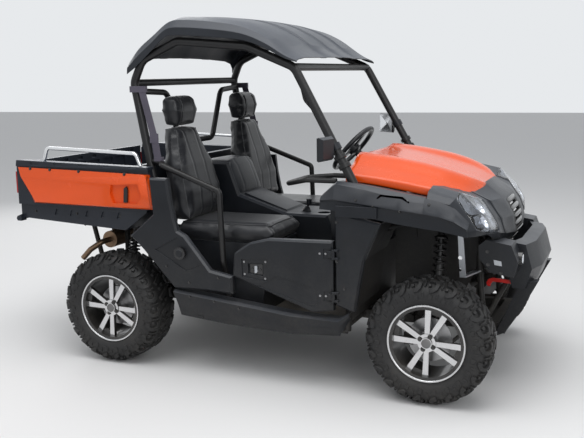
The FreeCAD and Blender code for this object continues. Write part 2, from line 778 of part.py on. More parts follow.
def grille():
    """Slats across the opening, joined by an upright at each end."""
    panel = fascia_skin(18.0).common(grille_opening(gap))
    z0, z1 = grille_z
    pitch = (z1 - z0 - 24) / SLATS
    for i in range(SLATS):
        low = z0 + 14 + i * pitch
        panel = panel.cut(box(1200, 1400, -grille_y * 0.66, grille_y * 0.66, low, low + pitch * 0.55))
    return largest(panel)


# Fender sections: x, then the outline as (y, z) from the hood's edge out and down to the lip
FENDER = (
    (468, (585, 1030), (660, 1034), (700, 1024), (722, 1006), (716, 998), (727, 962)),
    (545, (580, 1092), (670, 1100), (702, 1088), (738, 1016), (731, 1008), (738, 960)),
    (700, (560, 1068), (680, 1086), (712, 1066), (745, 1000), (737, 991), (738, 936)),
    (880, (549, 1038), (680, 1054), (712, 1032), (747, 978), (739, 969), (740, 908)),
    (1002, (525, 1012), (680, 1036), (712, 1012), (748, 966), (740, 957), (740, 894)),
)
# the front of the flare: x, top, ledge, lip
FLARE = ((1002, 1036, 966, 894), (1080, 1020, 956, 886), (1150, 990, 936, 874), (1215, 930, 900, 862))
fender_slot = [(765, 1028), (783, 1047), (892, 1038), (937, 1013), (926, 1010), (888, 1028), (788, 1036),
               (774, 1025)]


def fender():
    wires = []
    for row in FENDER:
        strip = skin_outline(list(row[1:]), panel_wall)
        wires.append(polygon([V(row[0], y, z) for y, z in strip]))
    body = loft(wires)
    wires = []
    for x, top, ledge, low in FLARE:
        strip = skin_outline([(702, top), (718, top - 18), (748, ledge), (740, ledge - 9), (740, low)], panel_wall)
        wires.append(polygon([V(x, y, z) for y, z in strip]))
    slot = plate_xz(fender_slot, 690, 760)
    return fuse([body.cut(slot), loft(wires)])


def cowl_panel():
    """The tall panel between the door and the front wheel's arch."""
    outline = [(548, 952), (548, 470), (636, 440), (655, 446), (701, 706), (786, 900)]
    tab = largest(box(560, 775, 700, 748, 930, 985).cut(fender()))
    return fuse([bevelled_plate(outline, 690, 716, 728, 10), tab, hinge_ears()])


hinge_axis = (545.0, 739.0)
hinge_z = (735.0, 515.0)
hinge_pin = 5.0
hinge_knuckle = 9.0
hinge_height = 30.0


def hinge_ears():
    """Ears on the cowl above and below each of the door's knuckles."""
    x, y = hinge_axis
    shapes = []
    for z in hinge_z:
        for start in (z - hinge_height / 2 - gap - 10, z + hinge_height / 2 + gap):
            shapes.append(rod((x, y, start), (x, y, start + 10), hinge_knuckle))
            shapes.append(box(x, x + 25, y - 14, y + 4, start, start + 10))
        shapes.append(rod((x, y, z - hinge_height / 2 - gap - 5), (x, y, z + hinge_height / 2 + gap + 5), hinge_pin))
    return fuse(shapes)


door_outline = [(-20, 700), (-4, 714), (73, 765), (180, 792), (540 - 1, 800), (540 - 1, 440), (424, 422), (-32, 578)]


latch_pocket = [(24, 674), (176, 685), (173, 563), (28, 580)]
latch_well = [(59, 653), (150, 659), (148, 588), (61, 598)]
door_field = [(232, 600), (448, 550), (462, 474), (420, 450), (120, 536)]
door_face = 732.0


def door():
    """Half door with its two hinge knuckles, the sunk latch and a sunk lower field."""
    x, y = hinge_axis
    panel = bevelled_plate(door_outline, 692, 724, door_face, 10)
    for outline, depth in ((latch_pocket, 5), (latch_well, 17), (door_field, 4)):
        panel = panel.cut(plate_xz(outline, door_face - depth, door_face + 10))
    for z in hinge_z:
        panel = panel.cut(box(x - 55, x, door_face - 4, door_face + 10, z - 26, z + 26))
    shapes = [panel]
    holes = []
    for z in hinge_z:
        shapes.append(rod((x, y, z - hinge_height / 2), (x, y, z + hinge_height / 2), hinge_knuckle))
        shapes.append(box(x - 30, x, y - 14, y + 3, z - hinge_height / 2, z + hinge_height / 2))
        holes.append(rod((x, y, z - 40), (x, y, z + 40), hinge_pin + gap))
    return fuse(shapes).cut(holes[0]).cut(holes[1])


# Sill sections: x, top, bottom
SILL = ((-404, 470, 420), (-376, 466, 322), (-80, 436, 297), (298, 400, 284), (563, 396, 303), (622, 436, 396))


def sill():
    """The skirt below the door, on three brackets from the frame's side tube."""
    wires = []
    for x, top, low in SILL:
        strip = skin_outline([(628, top - 8), (712, top), (730, top - 12), (726, (top + low) / 2), (700, low)],
                             panel_wall)
        wires.append(polygon([V(x, y, z) for y, z in strip]))
    shapes = [loft(wires)]
    for x in (-250, 100, 450):
        bracket = box(x - 18, x + 18, sill_rail_y, 711, 318, 330)
        shapes.append(largest(bracket.cut(rod(b_foot, a_foot, side_tube + gap))))
    return fuse(shapes)


quarter_outline = [(-535, 1086), (-421, 1086), (-408, 975), (-387, 870), (-368, 800), (-321, 776), (-170, 594),
                   (-38, 571), (-38, 474), (-200, 482), (-398, 478), (-590, 683), (-672, 758), (-521, 884)]
cap_centre = (-349.0, 680.0)
cap_radius = 35.0
quarter_face = 730.0
cap_pocket = [(-512, 690), (-372, 764), (-330, 752), (-226, 617), (-317, 582)]
cap_floor = 724.0


def quarter_panel():
    """The panel behind the door, bracketed to the frame's post behind the seats."""
    bracket = box(-505, -455, b_socket[1], 700, 625, 655)
    bracket = largest(bracket.cut(rod(b_foot, b_socket, frame_tube + gap)))
    panel = bevelled_plate(quarter_outline, 694, 718, quarter_face, 10)
    panel = panel.cut(plate_xz(cap_pocket, cap_floor, quarter_face + 10))
    return fuse([panel, bracket])


def fuel_cap():
    x, z = cap_centre
    return rod((x, -cap_floor - gap, z), (x, -744, z), cap_radius)


# Cabin

def floor():
    """Flat pan with a toe board up to the dash."""
    line = [(-380, rail_top + gap), (556, rail_top + gap), (612, 450), (648, 640), (652, 700)]
    strip = skin_outline(line, -panel_wall)
    pan = plate_xz(strip, -570, 570)
    return pan.cut(box(-400, -34, -156, 156, 300, 340))


def dash():
    """Hollow dash from side to side, open towards the hood."""
    inner = [(520, 700), (484, 806), (476, 950), (510, 1044), (548, 1068), (580, 1060), (580, 700)]
    shell = dash_outer().cut(plate_xz(inner, -552, 552))
    post = rod(a_foot, a_socket, frame_tube + gap)
    bracket = largest(box(540, 624, 545, 609, 862, 878).cut(post))
    return fuse([shell] + pair(bracket))


def dash_outer():
    outline = [(500, 720), (470, 800), (462, 960), (500, 1060), (545, 1085), (560, 1070), (560, 720)]
    return plate_xz(outline, -560, 560)


console_half = 168.0
console_top = 830.0
cup_x = 238.0
cup_y = 64.0
cup_radius = 38.0
lever_at = (120.0, -50.0)


def console():
    """The cover between the seats, hollow over the engine."""
    base = rail_top + gap + panel_wall + gap
    line = [(-465, base), (-465, 760), (-540, 760), (-540, 1120), (-340, 1120), (-270, 930), (40, 830), (290, 830),
            (335, 720), (335, base)]
    outer = fuse([bevelled_plate(line, 0, console_half - 16, console_half, 12),
                  mirrored(bevelled_plate(line, 0, console_half - 16, console_half, 12))])
    outer = fuse([outer, box(-465, 335, -console_half, console_half, base, base + 20)])
    inner_line = inset(line, 6)
    inner_line[0] = (inner_line[0][0], 300)
    inner_line[-1] = (inner_line[-1][0], 300)
    shell = outer.cut(plate_xz(inner_line, 16 - console_half, console_half - 16))
    for y in (-cup_y, cup_y):
        cup = rod((cup_x, y, console_top - 52), (cup_x, y, console_top), cup_radius + 5)
        shell = fuse([shell, cup]).cut(rod((cup_x, y, console_top - 47), (cup_x, y, console_top + 5), cup_radius))
    cover = plate_xz([(-258, 925), (28, 832), (18, 846), (-246, 934)], -120, 120)
    return fuse([shell, cover])


def shifter():
    """Gear lever with its boot and knob on the console."""
    x, y = lever_at
    lever = rod((x, y, console_top + gap + 4), (x + 16, y, console_top + 60), 6)
    boot = Part.makeCone(24, 9, 22, V(x, y, console_top + gap), ALONG_Z)
    knob = Part.makeCylinder(16, 30, V(x + 16, y, console_top + 45), ALONG_Z)
    return fuse([lever, boot, knob])


seat_half = 210.0
seat_slot = 24.0             # between the console and each cushion
seat_y = console_half + seat_slot + seat_half
base_top = 727.0
# how far each base stands in from the cushion's inner and outer side
base_inset = (8.0, 38.0)


def seat_base():
    """Open-bottomed box under the cushion."""
    low = rail_top + gap + panel_wall + gap
    wall = 6.0
    y0 = seat_y - seat_half + base_inset[0]
    y1 = seat_y + seat_half - base_inset[1]
    outer = plate_xz([(-470, low), (-470, base_top), (120, base_top), (60, low)], y0, y1)
    inner = plate_xz([(-464, 300), (-464, base_top - wall), (112, base_top - wall), (54, low), (54, 300)],
                     y0 + wall, y1 - wall)
    return outer.cut(inner)


# Seat sections. Cushion: z, back x, front x, inset of the back's and the front's half width
CUSHION = ((base_top + gap, -440, 130, 0, 15), (790, -446, 160, 0, 10), (835, -430, 110, 30, 40))
# Backrest and headrest: z, back x, front x, inset of the half width
BACKREST = ((835 + gap, -490, -350, 5), (1000, -510, -365, -5), (1150, -540, -405, 15), (1300, -572, -455, 75),
            (1352, -575, -475, 92))
HEADREST = ((1352 + gap, -560, -470, 105), (1440, -575, -455, 85), (1505, -570, -470, 92), (1530, -555, -490, 115))


def seat_cushion():
    """Cushion with straight sides and a chamfered top, as two lofts."""
    wires = []
    for z, back, front, back_inset, front_inset in CUSHION:
        at_back = seat_half - back_inset
        at_front = seat_half - front_inset
        wires.append(polygon([V(back, seat_y - at_back, z), V(front, seat_y - at_front, z),
                              V(front, seat_y + at_front, z), V(back, seat_y + at_back, z)]))
    return fuse([loft(wires[:2]), loft(wires[1:])])


def seat_column(rows, taper):
    """A backrest or headrest from its sections, its back narrower than its front by the taper."""
    wires = []
    for z, back, front, half_inset in rows:
        half = seat_half - half_inset
        wires.append(polygon([V(back, seat_y - half + taper, z), V(front, seat_y - half, z),
                              V(front, seat_y + half, z), V(back, seat_y + half - taper, z)]))
    return loft(wires)


def engine():
    """The engine and transmission as one plain block."""
    return box(-455, -40, -150, 150, rail_top + gap, 690)


wheel_centre = (256.0, seat_y, 1168.0)
column_end = (560.0, seat_y, 900.0)
steering_radius = 165.0
column_radius = 24.0


def column_axis():
    return (V(*column_end) - V(*wheel_centre)).normalize()


def steering_wheel():
    """Rim, three spokes, hub and the shaft that runs in the column."""
    rim_section = [(steering_radius + 15 * math.cos(a), 15 * math.sin(a))
                   for a in [math.radians(45 * i) for i in range(8)]]
    ring = ring_of_facets(rim_section, 28)
    hub = Part.makeCylinder(40, 40, V(0, -10, 0), ALONG_Y)
    shapes = [ring, hub]
    for degrees in (0, 120, 240):
        arm_bar = Part.makeBox(steering_radius - 5, 8, 34, V(0, -4, -17))
        arm_bar.rotate(V(0, 0, 0), ALONG_Y, degrees + 90)
        shapes.append(arm_bar)
    shapes.append(Part.makeCylinder(11, 200, V(0, 20, 0), ALONG_Y))
    wheel = fuse(shapes)
    return place_on_column(wheel)


def place_on_column(shape):
    shape = shape.copy()
    shape.Placement = FreeCAD.Placement(V(*wheel_centre), FreeCAD.Rotation(ALONG_Y, column_axis()))
    return shape


def steering_column():
    """Tube through the dash, its bore open to the shaft."""
    tube_part = Part.makeCylinder(column_radius, 360, V(0, 36, 0), ALONG_Y)
    bore = Part.makeCylinder(11 + gap, 200, V(0, 30, 0), ALONG_Y)
    return place_on_column(tube_part.cut(bore))


def column_clearance():
    return place_on_column(Part.makeCylinder(column_radius + gap, 500, V(0, 36, 0), ALONG_Y))


# Steering gear

def rack_housing():
    z = rail_top + gap + 22
    shape = rod((rack_x, -185, z), (rack_x, 185, z), 22)
    return shape.cut(rod((rack_x, -200, z), (rack_x, 200, z), 12 + gap))


def steering_rack():
    """The sliding bar and a tie rod to each knuckle's steering arm."""
    z = rail_top + gap + 22
    shapes = [rod((rack_x, -300, z), (rack_x, 300, z), 12)]
    for side in (-1, 1):
        end = (rack_x, side * (kingpin_y - 8), tie_rod_z)
        shapes.append(rod((rack_x, side * 295, z), end, 8))
        shapes.append(rod((end[0], end[1], tie_rod_z - 8), (end[0], end[1], tie_rod_z + 8), 13))
    return fuse(shapes)


# Belts, recovery hook, and the stays and liners in the wheel arches

belt_face = 631.0            # inner face of the webbing, outside the cage's rear leg


def belt():
    """Webbing from its guide on the cage's rear leg to the clip on the hip bar, with its tongue."""
    webbing = plate_xz([(-635, 1562), (-591, 1562), (-522, 1295), (-504, 1180), (-549, 1180), (-566, 1295)],
                       belt_face, belt_face + 3)
    guide = box(-690, -586, cage_route[-2][1] + 15, belt_face + 5, 1548, 1582)
    guide = largest(guide.cut(rod(b_socket, cage_route[-2], cage_tube + gap)))
    tongue = box(-572, -520, belt_face - 2, belt_face + 6, 1270, 1322)
    clip = box(-552, -500, 612, belt_face + 5, 1168, 1192)
    strap = fuse([webbing, guide, tongue, clip])
    return largest(strap.cut(tube(hip_route, hip_tube + gap, 28)))


def buckle():
    """Stalk and buckle on the console's side."""
    y0 = console_half + gap
    return fuse([box(-428, -408, y0, y0 + 6, 760, 880), box(-438, -398, y0, y0 + 16, 850, 930)])


def seat_belts():
    return pair(belt()) + pair(buckle())


hook_y = (300.0 + gap, 308.0 + gap)
hook_outline = [(1410, 548), (1410, 566), (1262, 576), (1240, 567), (1230, 548), (1237, 530), (1252, 528),
                (1254, 543), (1264, 555), (1300, 554)]


def tow_hook():
    """A flat hook beside the bumper's arm, curled at its rear end."""
    return plate_xz(hook_outline, -hook_y[1], -hook_y[0])


stay_y = (436.0, 446.0)
stay_foot_z = 606.0


def fender_stay():
    """Flat bar from the tower's front leg up behind the headlamp to the hood."""
    y0, y1 = stay_y
    bar = plate_xz([(1064, 1100), (1092, 1100), (1134, 833), (1152, stay_foot_z), (1120, stay_foot_z), (1107, 829)],
                   y0, y1)
    leg_foot, leg_head = tower_leg(front_axle_x, 1, front_tower_top)
    foot = plate_xy([(1120, y1), (1152, y1), (1206, 262), (1168, 262)], stay_foot_z - 8, stay_foot_z)
    foot = foot.cut(rod(leg_foot, leg_head, tower_tube + gap))
    foot = max(foot.Solids, key=lambda solid: solid.BoundBox.YMax)
    return fuse([bar, foot])


liner_wall = 4.0
front_liner = [(645, 452), (691, 706), (775, 898), (900, 958), (1040, 950)]
front_liner_y = (306.0, 690.0 - gap)
rear_liner = [(-578, 690), (-392, 491)]
rear_liner_y = (580.0, 694.0 - gap)


def wheel_liners():
    """Sheets bent round the front of each front arch and behind each seat, against the side panels."""
    front = plate_xz(skin_outline(front_liner, liner_wall), *front_liner_y)
    front = largest(front.cut(rod(*frame_brace(), brace_tube + gap)))
    rear = plate_xz(skin_outline(rear_liner, liner_wall), *rear_liner_y)
    rear = largest(rear.cut(rod(b_foot, b_socket, frame_tube + gap)))
    return pair(front) + pair(rear)


# Cargo bed

bed_x = (-1484.0, -560.0)
bed_front_wall = -640.0
bed_front_thick = 44.0
bed_floor_z = 826.0
bed_wall_y = (640.0, 684.0)
bed_wall_top = 1124.0
bed_skirt_y = 660.0
cap_top = (1160.0, 1139.0)   # height of the side caps at the rear and the front
cap_side = 700.0
CAP_NOTCHES = 5
TIE_HOLES = 7
SIDE_SLOTS = 5
tailgate_hinge = (-1496.0, 806.0)
tailgate_pin = 6.0


def bed_tub():
    """Floor, front wall, both side walls with their forward ends, and the hinge ears below."""
    low = [(bed_x[0], 896), (bed_x[0], 812), (-1385, 806), (-747, 772), (-600, 880), (-600, 896)]
    shapes = [plate_xz(low, -bed_skirt_y, bed_skirt_y)]
    shapes.append(box(bed_x[0], bed_front_wall, -bed_wall_y[0] - 5, bed_wall_y[0] + 5, 890, bed_wall_top))
    for side in (-1, 1):
        y0, y1 = sorted((side * bed_wall_y[0], side * bed_wall_y[1]))
        shapes.append(plate_xz([(bed_x[0], 896), (-598, 896), (-545, 905), (-565, bed_wall_top),
                                (bed_x[0], bed_wall_top)], y0, y1))
    tub = fuse(shapes)
    tub = tub.cut(box(bed_x[0] - 10, bed_front_wall - bed_front_thick, -bed_wall_y[0], bed_wall_y[0],
                      bed_floor_z, 1200))
    for i in range(TIE_HOLES):
        x = -1240 + 80 * i
        tub = tub.cut(rod((x, -bed_wall_y[0] - 12, 1085), (x, bed_wall_y[0] + 12, 1085), 9))
    for i in range(SIDE_SLOTS):
        x = -1230 + 110 * i
        slot = [(x, 872), (x + 22, 874), (x + 8, 838), (x - 14, 836)]
        tub = tub.cut(plate_xz(slot, bed_skirt_y - 6, bed_skirt_y + 5))
        tub = tub.cut(plate_xz(slot, -bed_skirt_y - 5, 6 - bed_skirt_y))
    ears = []
    for side in (-1, 1):
        ear_y = side * 300
        for y in (ear_y - 22, ear_y + 10):
            ears.append(plate_xz([(bed_hinge_x - 26, bed_hinge_z), (bed_hinge_x, bed_hinge_z - 26),
                                  (bed_hinge_x + 26, bed_hinge_z), (bed_hinge_x + 40, 812),
                                  (bed_hinge_x - 40, 812)], y, y + 12))
    x, z = tailgate_hinge
    for side in (-1, 1):
        y0, y1 = sorted((side * bed_wall_y[0], side * bed_wall_y[1]))
        ears.append(plate_xz([(bed_x[0] + 10, z - 14), (x - 8, z - 14), (x - 16, z), (x - 8, z + 14),
                              (bed_x[0] + 10, z + 26)], y0, y1))
    tub = fuse([tub] + ears)
    for side in (-1, 1):
        tub = tub.cut(rod((x, side * 600, z), (x, side * 664, z), tailgate_pin + gap))
        tub = tub.cut(rod((bed_hinge_x, side * 300 - 60, bed_hinge_z), (bed_hinge_x, side * 300 + 60, bed_hinge_z),
                          bed_pin + gap))
    return tub


bed_panel_outline = [(-1462, 1119), (-554, 1099), (-533, 906), (-1352, 909)]


bed_panel_face = [(-1438, 1062), (-566, 1085), (-545, 914), (-1340, 917)]
bed_panel_y = 706.0
handle_pocket = [(-802, 1035), (-623, 1045), (-602, 978), (-629, 937), (-791, 933), (-810, 984)]
handle_depth = 15.0


def bed_panels():
    """Side panels, their upper band sloped, with the pocket of the tipping lever and the lever in it."""
    y0 = bed_wall_y[1] + gap
    body = plate_xz(bed_panel_outline, y0, 697)
    crown = loft([polygon([V(x, 697, z) for x, z in bed_panel_outline]),
                  polygon([V(x, bed_panel_y, z) for x, z in bed_panel_face])])
    panel = fuse([body, crown]).cut(plate_xz(handle_pocket, bed_panel_y - handle_depth, bed_panel_y + 5))
    lever = plate_xz([(-722, 940), (-698, 940), (-692, 1010), (-700, 1030), (-716, 1018)],
                     bed_panel_y - handle_depth, bed_panel_y - 3)
    return pair(fuse([panel, lever]))


def bed_caps():
    """A cap along each side wall, joined across the front wall."""
    low = bed_wall_top + gap
    side_cap = plate_xz([(-1470, cap_top[0]), (-559, cap_top[1]), (-556, low), (-1476, low)], bed_wall_y[0], cap_side)
    for i in range(CAP_NOTCHES):
        x = -1370 + 170 * i
        side_cap = side_cap.cut(plate_xz([(x, low + 24), (x + 70, low + 22), (x + 60, low + 8), (x + 10, low + 8)],
                                         cap_side - 5, cap_side + 5))
    front = box(bed_front_wall - 36, bed_front_wall + 6, -bed_wall_y[0], bed_wall_y[0], low, 1143)
    return fuse(pair(side_cap) + [front])


def bed_rails():
    rail = [(-1286, 668, 1157), (-1262, 668, 1233), (-650, 668, 1211), (-620, 668, 1142)]
    top = pair(tube(rail, 10.5, 28))
    caps = plate_xz([(-1470, cap_top[0] + gap), (-559, cap_top[1] + gap), (-559, 1000), (-1470, 1000)], -760, 760)
    return [largest(shape.cut(caps)) for shape in top]


TAILGATE_POCKETS = 8


def tailgate():
    """Ribbed plate on its two hinge ends."""
    x0 = -1512.0
    outline = [(x0, 822), (bed_x[0] - 2, 822), (bed_x[0] - 2, 1138), (x0 + 4, 1138)]
    plate = plate_xz(outline, -634, 634)
    for i in range(TAILGATE_POCKETS):
        y = (i - (TAILGATE_POCKETS - 1) / 2) * 150
        plate = plate.cut(box(bed_x[0] - 10, bed_x[0] + 5, y - 58, y + 58, 860, 1085))
        plate = plate.cut(box(bed_x[0] - 10, bed_x[0] + 5, y - 25, y + 25, 1102, 1122))
    shapes = [plate]
    x, z = tailgate_hinge
    for side in (-1, 1):
        shapes.append(rod((x, side * 560, z), (x, side * 634, z), 11))
        shapes.append(rod((x, side * 600, z), (x, side * 662, z), tailgate_pin))
        y0, y1 = sorted((side * 560, side * 634))
        shapes.append(box(x - 9, x + 9, y0, y1, z, 826))
    return fuse(shapes)


def tail_lamps():
    return pair(box(bed_x[0] - 14 - gap, bed_x[0] - gap, 646, 680, 960, 1090))


muffler_x = -1085.0
muffler_z = 640.0
exhaust_tube = 19.0
exhaust_route = [(muffler_x, 120, muffler_z), (muffler_x, 205, muffler_z), (-700, 205, 620), (-560, 90, 600),
                 (-455 - gap, 90, 600)]


def muffler():
    """Can across the rear frame on its hanger, the pipe from the engine and the tail pipe."""
    x, z = muffler_x, muffler_z
    can = rod((x, -350, z), (x, 130, z), 52)
    pipe = tube([(x, -300, z), (x, -430, z), (x - 60, -470, z - 45), (x - 110, -480, z - 100)], 17, 30)
    hanger = box(x - 12, x + 12, -306, -294, z + 40, bed_rail_z)
    hanger = hanger.cut(rod((x - 60, -300, bed_rail_z), (x + 60, -300, bed_rail_z), bed_rail_tube + gap))
    lower = min(hanger.Solids, key=lambda solid: solid.BoundBox.ZMin)
    return fuse([can, pipe, lower, tube(exhaust_route, exhaust_tube, 45)])


def exhaust_clearance():
    return tube(exhaust_route, exhaust_tube + moving_gap, 45)


def radiator():
    tower = front_axle_x + 150 + 13
    return box(tower + gap, tower + 38, -200, 200, 600, 900)


def bumper():
    """Centre beam with winglets and two arms down to the skid plate."""
    wires = []
    for y in (-330, -200, 200, 330):
        shift = 35 if abs(y) > 300 else 0
        section = [(1390 - shift, 775), (1462 - shift, 764), (1496 - shift, 640), (1462 - shift, 535),
                   (1400 - shift, 535), (1370 - shift, 650)]
        wires.append(polygon([V(x, y, z) for x, z in section]))
    shapes = [loft(wires)]
    for side in (-1, 1):
        y0, y1 = sorted((side * 325, side * 465))
        shapes.append(plate_xz([(1216, 772), (1250, 803), (1376, 783), (1410, 700), (1390, 620), (1280, 640),
                                (1222, 705)], y0, y1))
        y0, y1 = sorted((side * 235, side * 300))
        shapes.append(plate_xz([(1400, 560), (1490, 570), (1400, 395), (1330, 285), (1290 + gap, 266),
                                (1290 + gap, 300), (1310, 340)], y0, y1))
    shapes.append(box(1300, 1330, -300, 300, 280, 320))
    return fuse(shapes)


# Mirrors: side, height of the clamp, then middle and turn about the upright of the housing
MIRRORS = ((1, 1312.0, (392.0, 690.0, 1310.0), 55.0), (-1, 1262.0, (500.0, -708.0, 1262.0), 8.0))


def mirror(side, clamp_z, middle, turn):
    """Clamp on the windscreen pillar, stalk and tapered housing."""
    foot = V(*a_socket)
    head = V(*cage_route[1])
    centre = foot + (head - foot) * ((clamp_z - foot.z) / (head.z - foot.z))
    along = (head - foot).normalize()
    clamp = Part.makeCylinder(cage_tube + 8, 34, centre - along * 17, along)
    inner = V(centre.x - 6, centre.y + cage_tube + 4, centre.z)
    stalk = rod((inner.x, inner.y, inner.z), (middle[0] - 2, abs(middle[1]) - 10, middle[2]), 8)
    wires = []
    for x, half_y, half_z in ((-16, 54, 48), (4, 68, 60), (16, 64, 56)):
        wires.append(polygon([V(x, -half_y, -half_z), V(x, half_y, -half_z), V(x, half_y, half_z),
                              V(x, -half_y, half_z)]))
    housing = loft(wires)
    housing.rotate(V(0, 0, 0), ALONG_Z, 180 + turn)
    housing.translate(V(middle[0], abs(middle[1]), middle[2]))
    bore = Part.makeCylinder(cage_tube + gap, 80, centre - along * 40, along)
    shape = fuse([clamp, stalk, housing]).cut(bore)
    return shape if side > 0 else mirrored(shape)


def mirrors():
    return [largest(mirror(*row)) for row in MIRRORS]


def main():
    os.makedirs("parts", exist_ok=True)
    wheels()
    save("frame", frame())
    save("roll_cage", [roll_cage()])
    save("roof", [roof()])
    save("grab_bars", [largest(shape.cut(dash_outer())) for shape in grab_bars()])
    for end, axle_x, shock_head in AXLES:
        steered = end == "front"
        upper_lower = arms(axle_x)
        save(end + "_arms", upper_lower + [mirrored(shape) for shape in upper_lower])
        if steered:
            save("knuckle_left", [knuckle(axle_x, True)])
            save("knuckle_right", [mirrored(knuckle(axle_x, True))])
        else:
            save("rear_knuckles", pair(knuckle(axle_x, False)))
    save("shocks", [shape for end, axle_x, head in AXLES for shape in pair(shock(axle_x, head))])
    save("half_shafts", pair(half_shaft(front_axle_x)) + pair(half_shaft(rear_axle_x)))
    save("gearcases", gearcases() + [rack_housing()])
    front = fascia()
    save("fascia", [front])
    save("headlamps", headlamps())
    save("grille", [grille()])
    lid = largest(hood().cut(front))
    save("hood", [lid])
    save("fender_stays", pair(largest(fender_stay().cut(front).cut(lid))))
    save("wheel_liners", wheel_liners())
    save("fenders", pair(largest(fender().cut(front).cut(cage_clearance()))))
    save("cowl_panels", pair(cowl_panel()))
    save("door_left", [door()])
    save("door_right", [mirrored(door())])
    save("sills", pair(sill()))
    save("quarter_panels", pair(quarter_panel()) + [fuel_cap()])
    save("floor", [floor()])
    save("dash", [dash().cut(column_clearance())])
    save("console", [largest(console().cut(exhaust_clearance())), shifter()])
    save("seat_bases", pair(seat_base()))
    save("seat_belts", seat_belts())
    save("seat_cushions", pair(seat_cushion()))
    save("seat_backs", pair(seat_column(BACKREST, 20)))
    save("headrests", pair(seat_column(HEADREST, 0)))
    save("engine", [engine()])
    save("steering_wheel", [steering_wheel()])
    save("steering_column", [steering_column()])
    save("steering_rack", [steering_rack()])
    save("bed_tub", [bed_tub()])
    save("bed_panels", bed_panels())
    save("bed_caps", [bed_caps()])
    save("bed_rails", bed_rails())
    save("tailgate", [tailgate()])
    save("tail_lamps", tail_lamps())
    save("muffler", [muffler()])
    save("radiator", [radiator()])
    beam = largest(bumper().cut(fascia_skin(60.0)))
    for seat in pair(fog_clearance()):
        beam = largest(beam.cut(seat))
    save("bumper", [beam])
    save("tow_hook", [largest(tow_hook().cut(beam))])
    save("mirrors", mirrors())


main()
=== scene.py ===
import json
from math import cos, hypot, pi, radians, sin, sqrt

import bmesh
import bpy
from mathutils import Matrix, Vector
from mathutils.bvhtree import BVHTree


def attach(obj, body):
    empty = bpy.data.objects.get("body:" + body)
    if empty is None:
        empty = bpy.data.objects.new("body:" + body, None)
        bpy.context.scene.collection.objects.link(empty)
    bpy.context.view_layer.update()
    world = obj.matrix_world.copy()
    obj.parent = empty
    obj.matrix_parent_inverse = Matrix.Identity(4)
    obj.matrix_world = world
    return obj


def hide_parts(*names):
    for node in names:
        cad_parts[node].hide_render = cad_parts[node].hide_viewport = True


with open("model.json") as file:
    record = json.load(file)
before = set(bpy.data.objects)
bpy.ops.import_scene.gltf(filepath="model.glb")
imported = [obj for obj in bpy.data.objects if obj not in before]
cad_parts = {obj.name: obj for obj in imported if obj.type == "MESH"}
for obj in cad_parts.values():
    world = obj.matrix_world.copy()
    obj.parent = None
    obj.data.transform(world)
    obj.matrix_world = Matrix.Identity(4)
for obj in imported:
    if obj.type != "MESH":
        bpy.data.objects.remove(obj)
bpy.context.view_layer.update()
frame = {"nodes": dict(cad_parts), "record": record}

nodes = frame["nodes"]
BODY_OF = {node: body for body, members in frame["record"]["behaviour"]["bodies"].items() for node in members}
MM = 0.001
MERGE = 2e-5  # corners nearer than this, in metres, are one

# Camera: where the photograph was taken from, by the vehicle's own frame
CAMERA_PLACE = Vector((1.99665, -4.57502, 1.62482))
YAW, PITCH, ROLL = radians(23.564), radians(9.746), radians(-1.005)
LENS, SENSOR = 51.47, 36


def link(name, data, *materials):
    """A new object in the scene, its mesh with the named materials."""
    piece = bpy.data.objects.new(name, data)
    bpy.context.scene.collection.objects.link(piece)
    for material in materials:
        data.materials.append(MATERIALS[material])
    return piece


def camera():
    ahead = Vector((-sin(YAW) * cos(PITCH), cos(YAW) * cos(PITCH), -sin(PITCH)))
    level = Vector((cos(YAW), sin(YAW), 0))
    over = level.cross(ahead)
    right = cos(ROLL) * level + sin(ROLL) * over
    up = -sin(ROLL) * level + cos(ROLL) * over
    data = bpy.data.cameras.new("camera")
    data.lens, data.sensor_width = LENS, SENSOR
    data.clip_end = 100
    eye = link("camera", data)
    eye.matrix_world = Matrix.Translation(CAMERA_PLACE) @ Matrix((right, up, -ahead)).transposed().to_4x4()
    bpy.context.scene.camera = eye


def lamp(name, place, aim, size, power):
    data = bpy.data.lights.new(name, "AREA")
    data.shape = "RECTANGLE"
    data.size, data.size_y = size
    data.energy = power
    light = link(name, data)
    light.location = place
    light.rotation_euler = (Vector(aim) - Vector(place)).to_track_quat("-Z", "Y").to_euler()


FLOOR_COLOUR = (0.78, 0.775, 0.77, 1)
SKY_COLOUR = (0.93, 0.96, 1.0, 1)
SKY_STRENGTH = 0.50
SHOWN_COLOUR = (0.80, 0.82, 0.84, 1)  # what is seen, mirrored or refracted of the sky


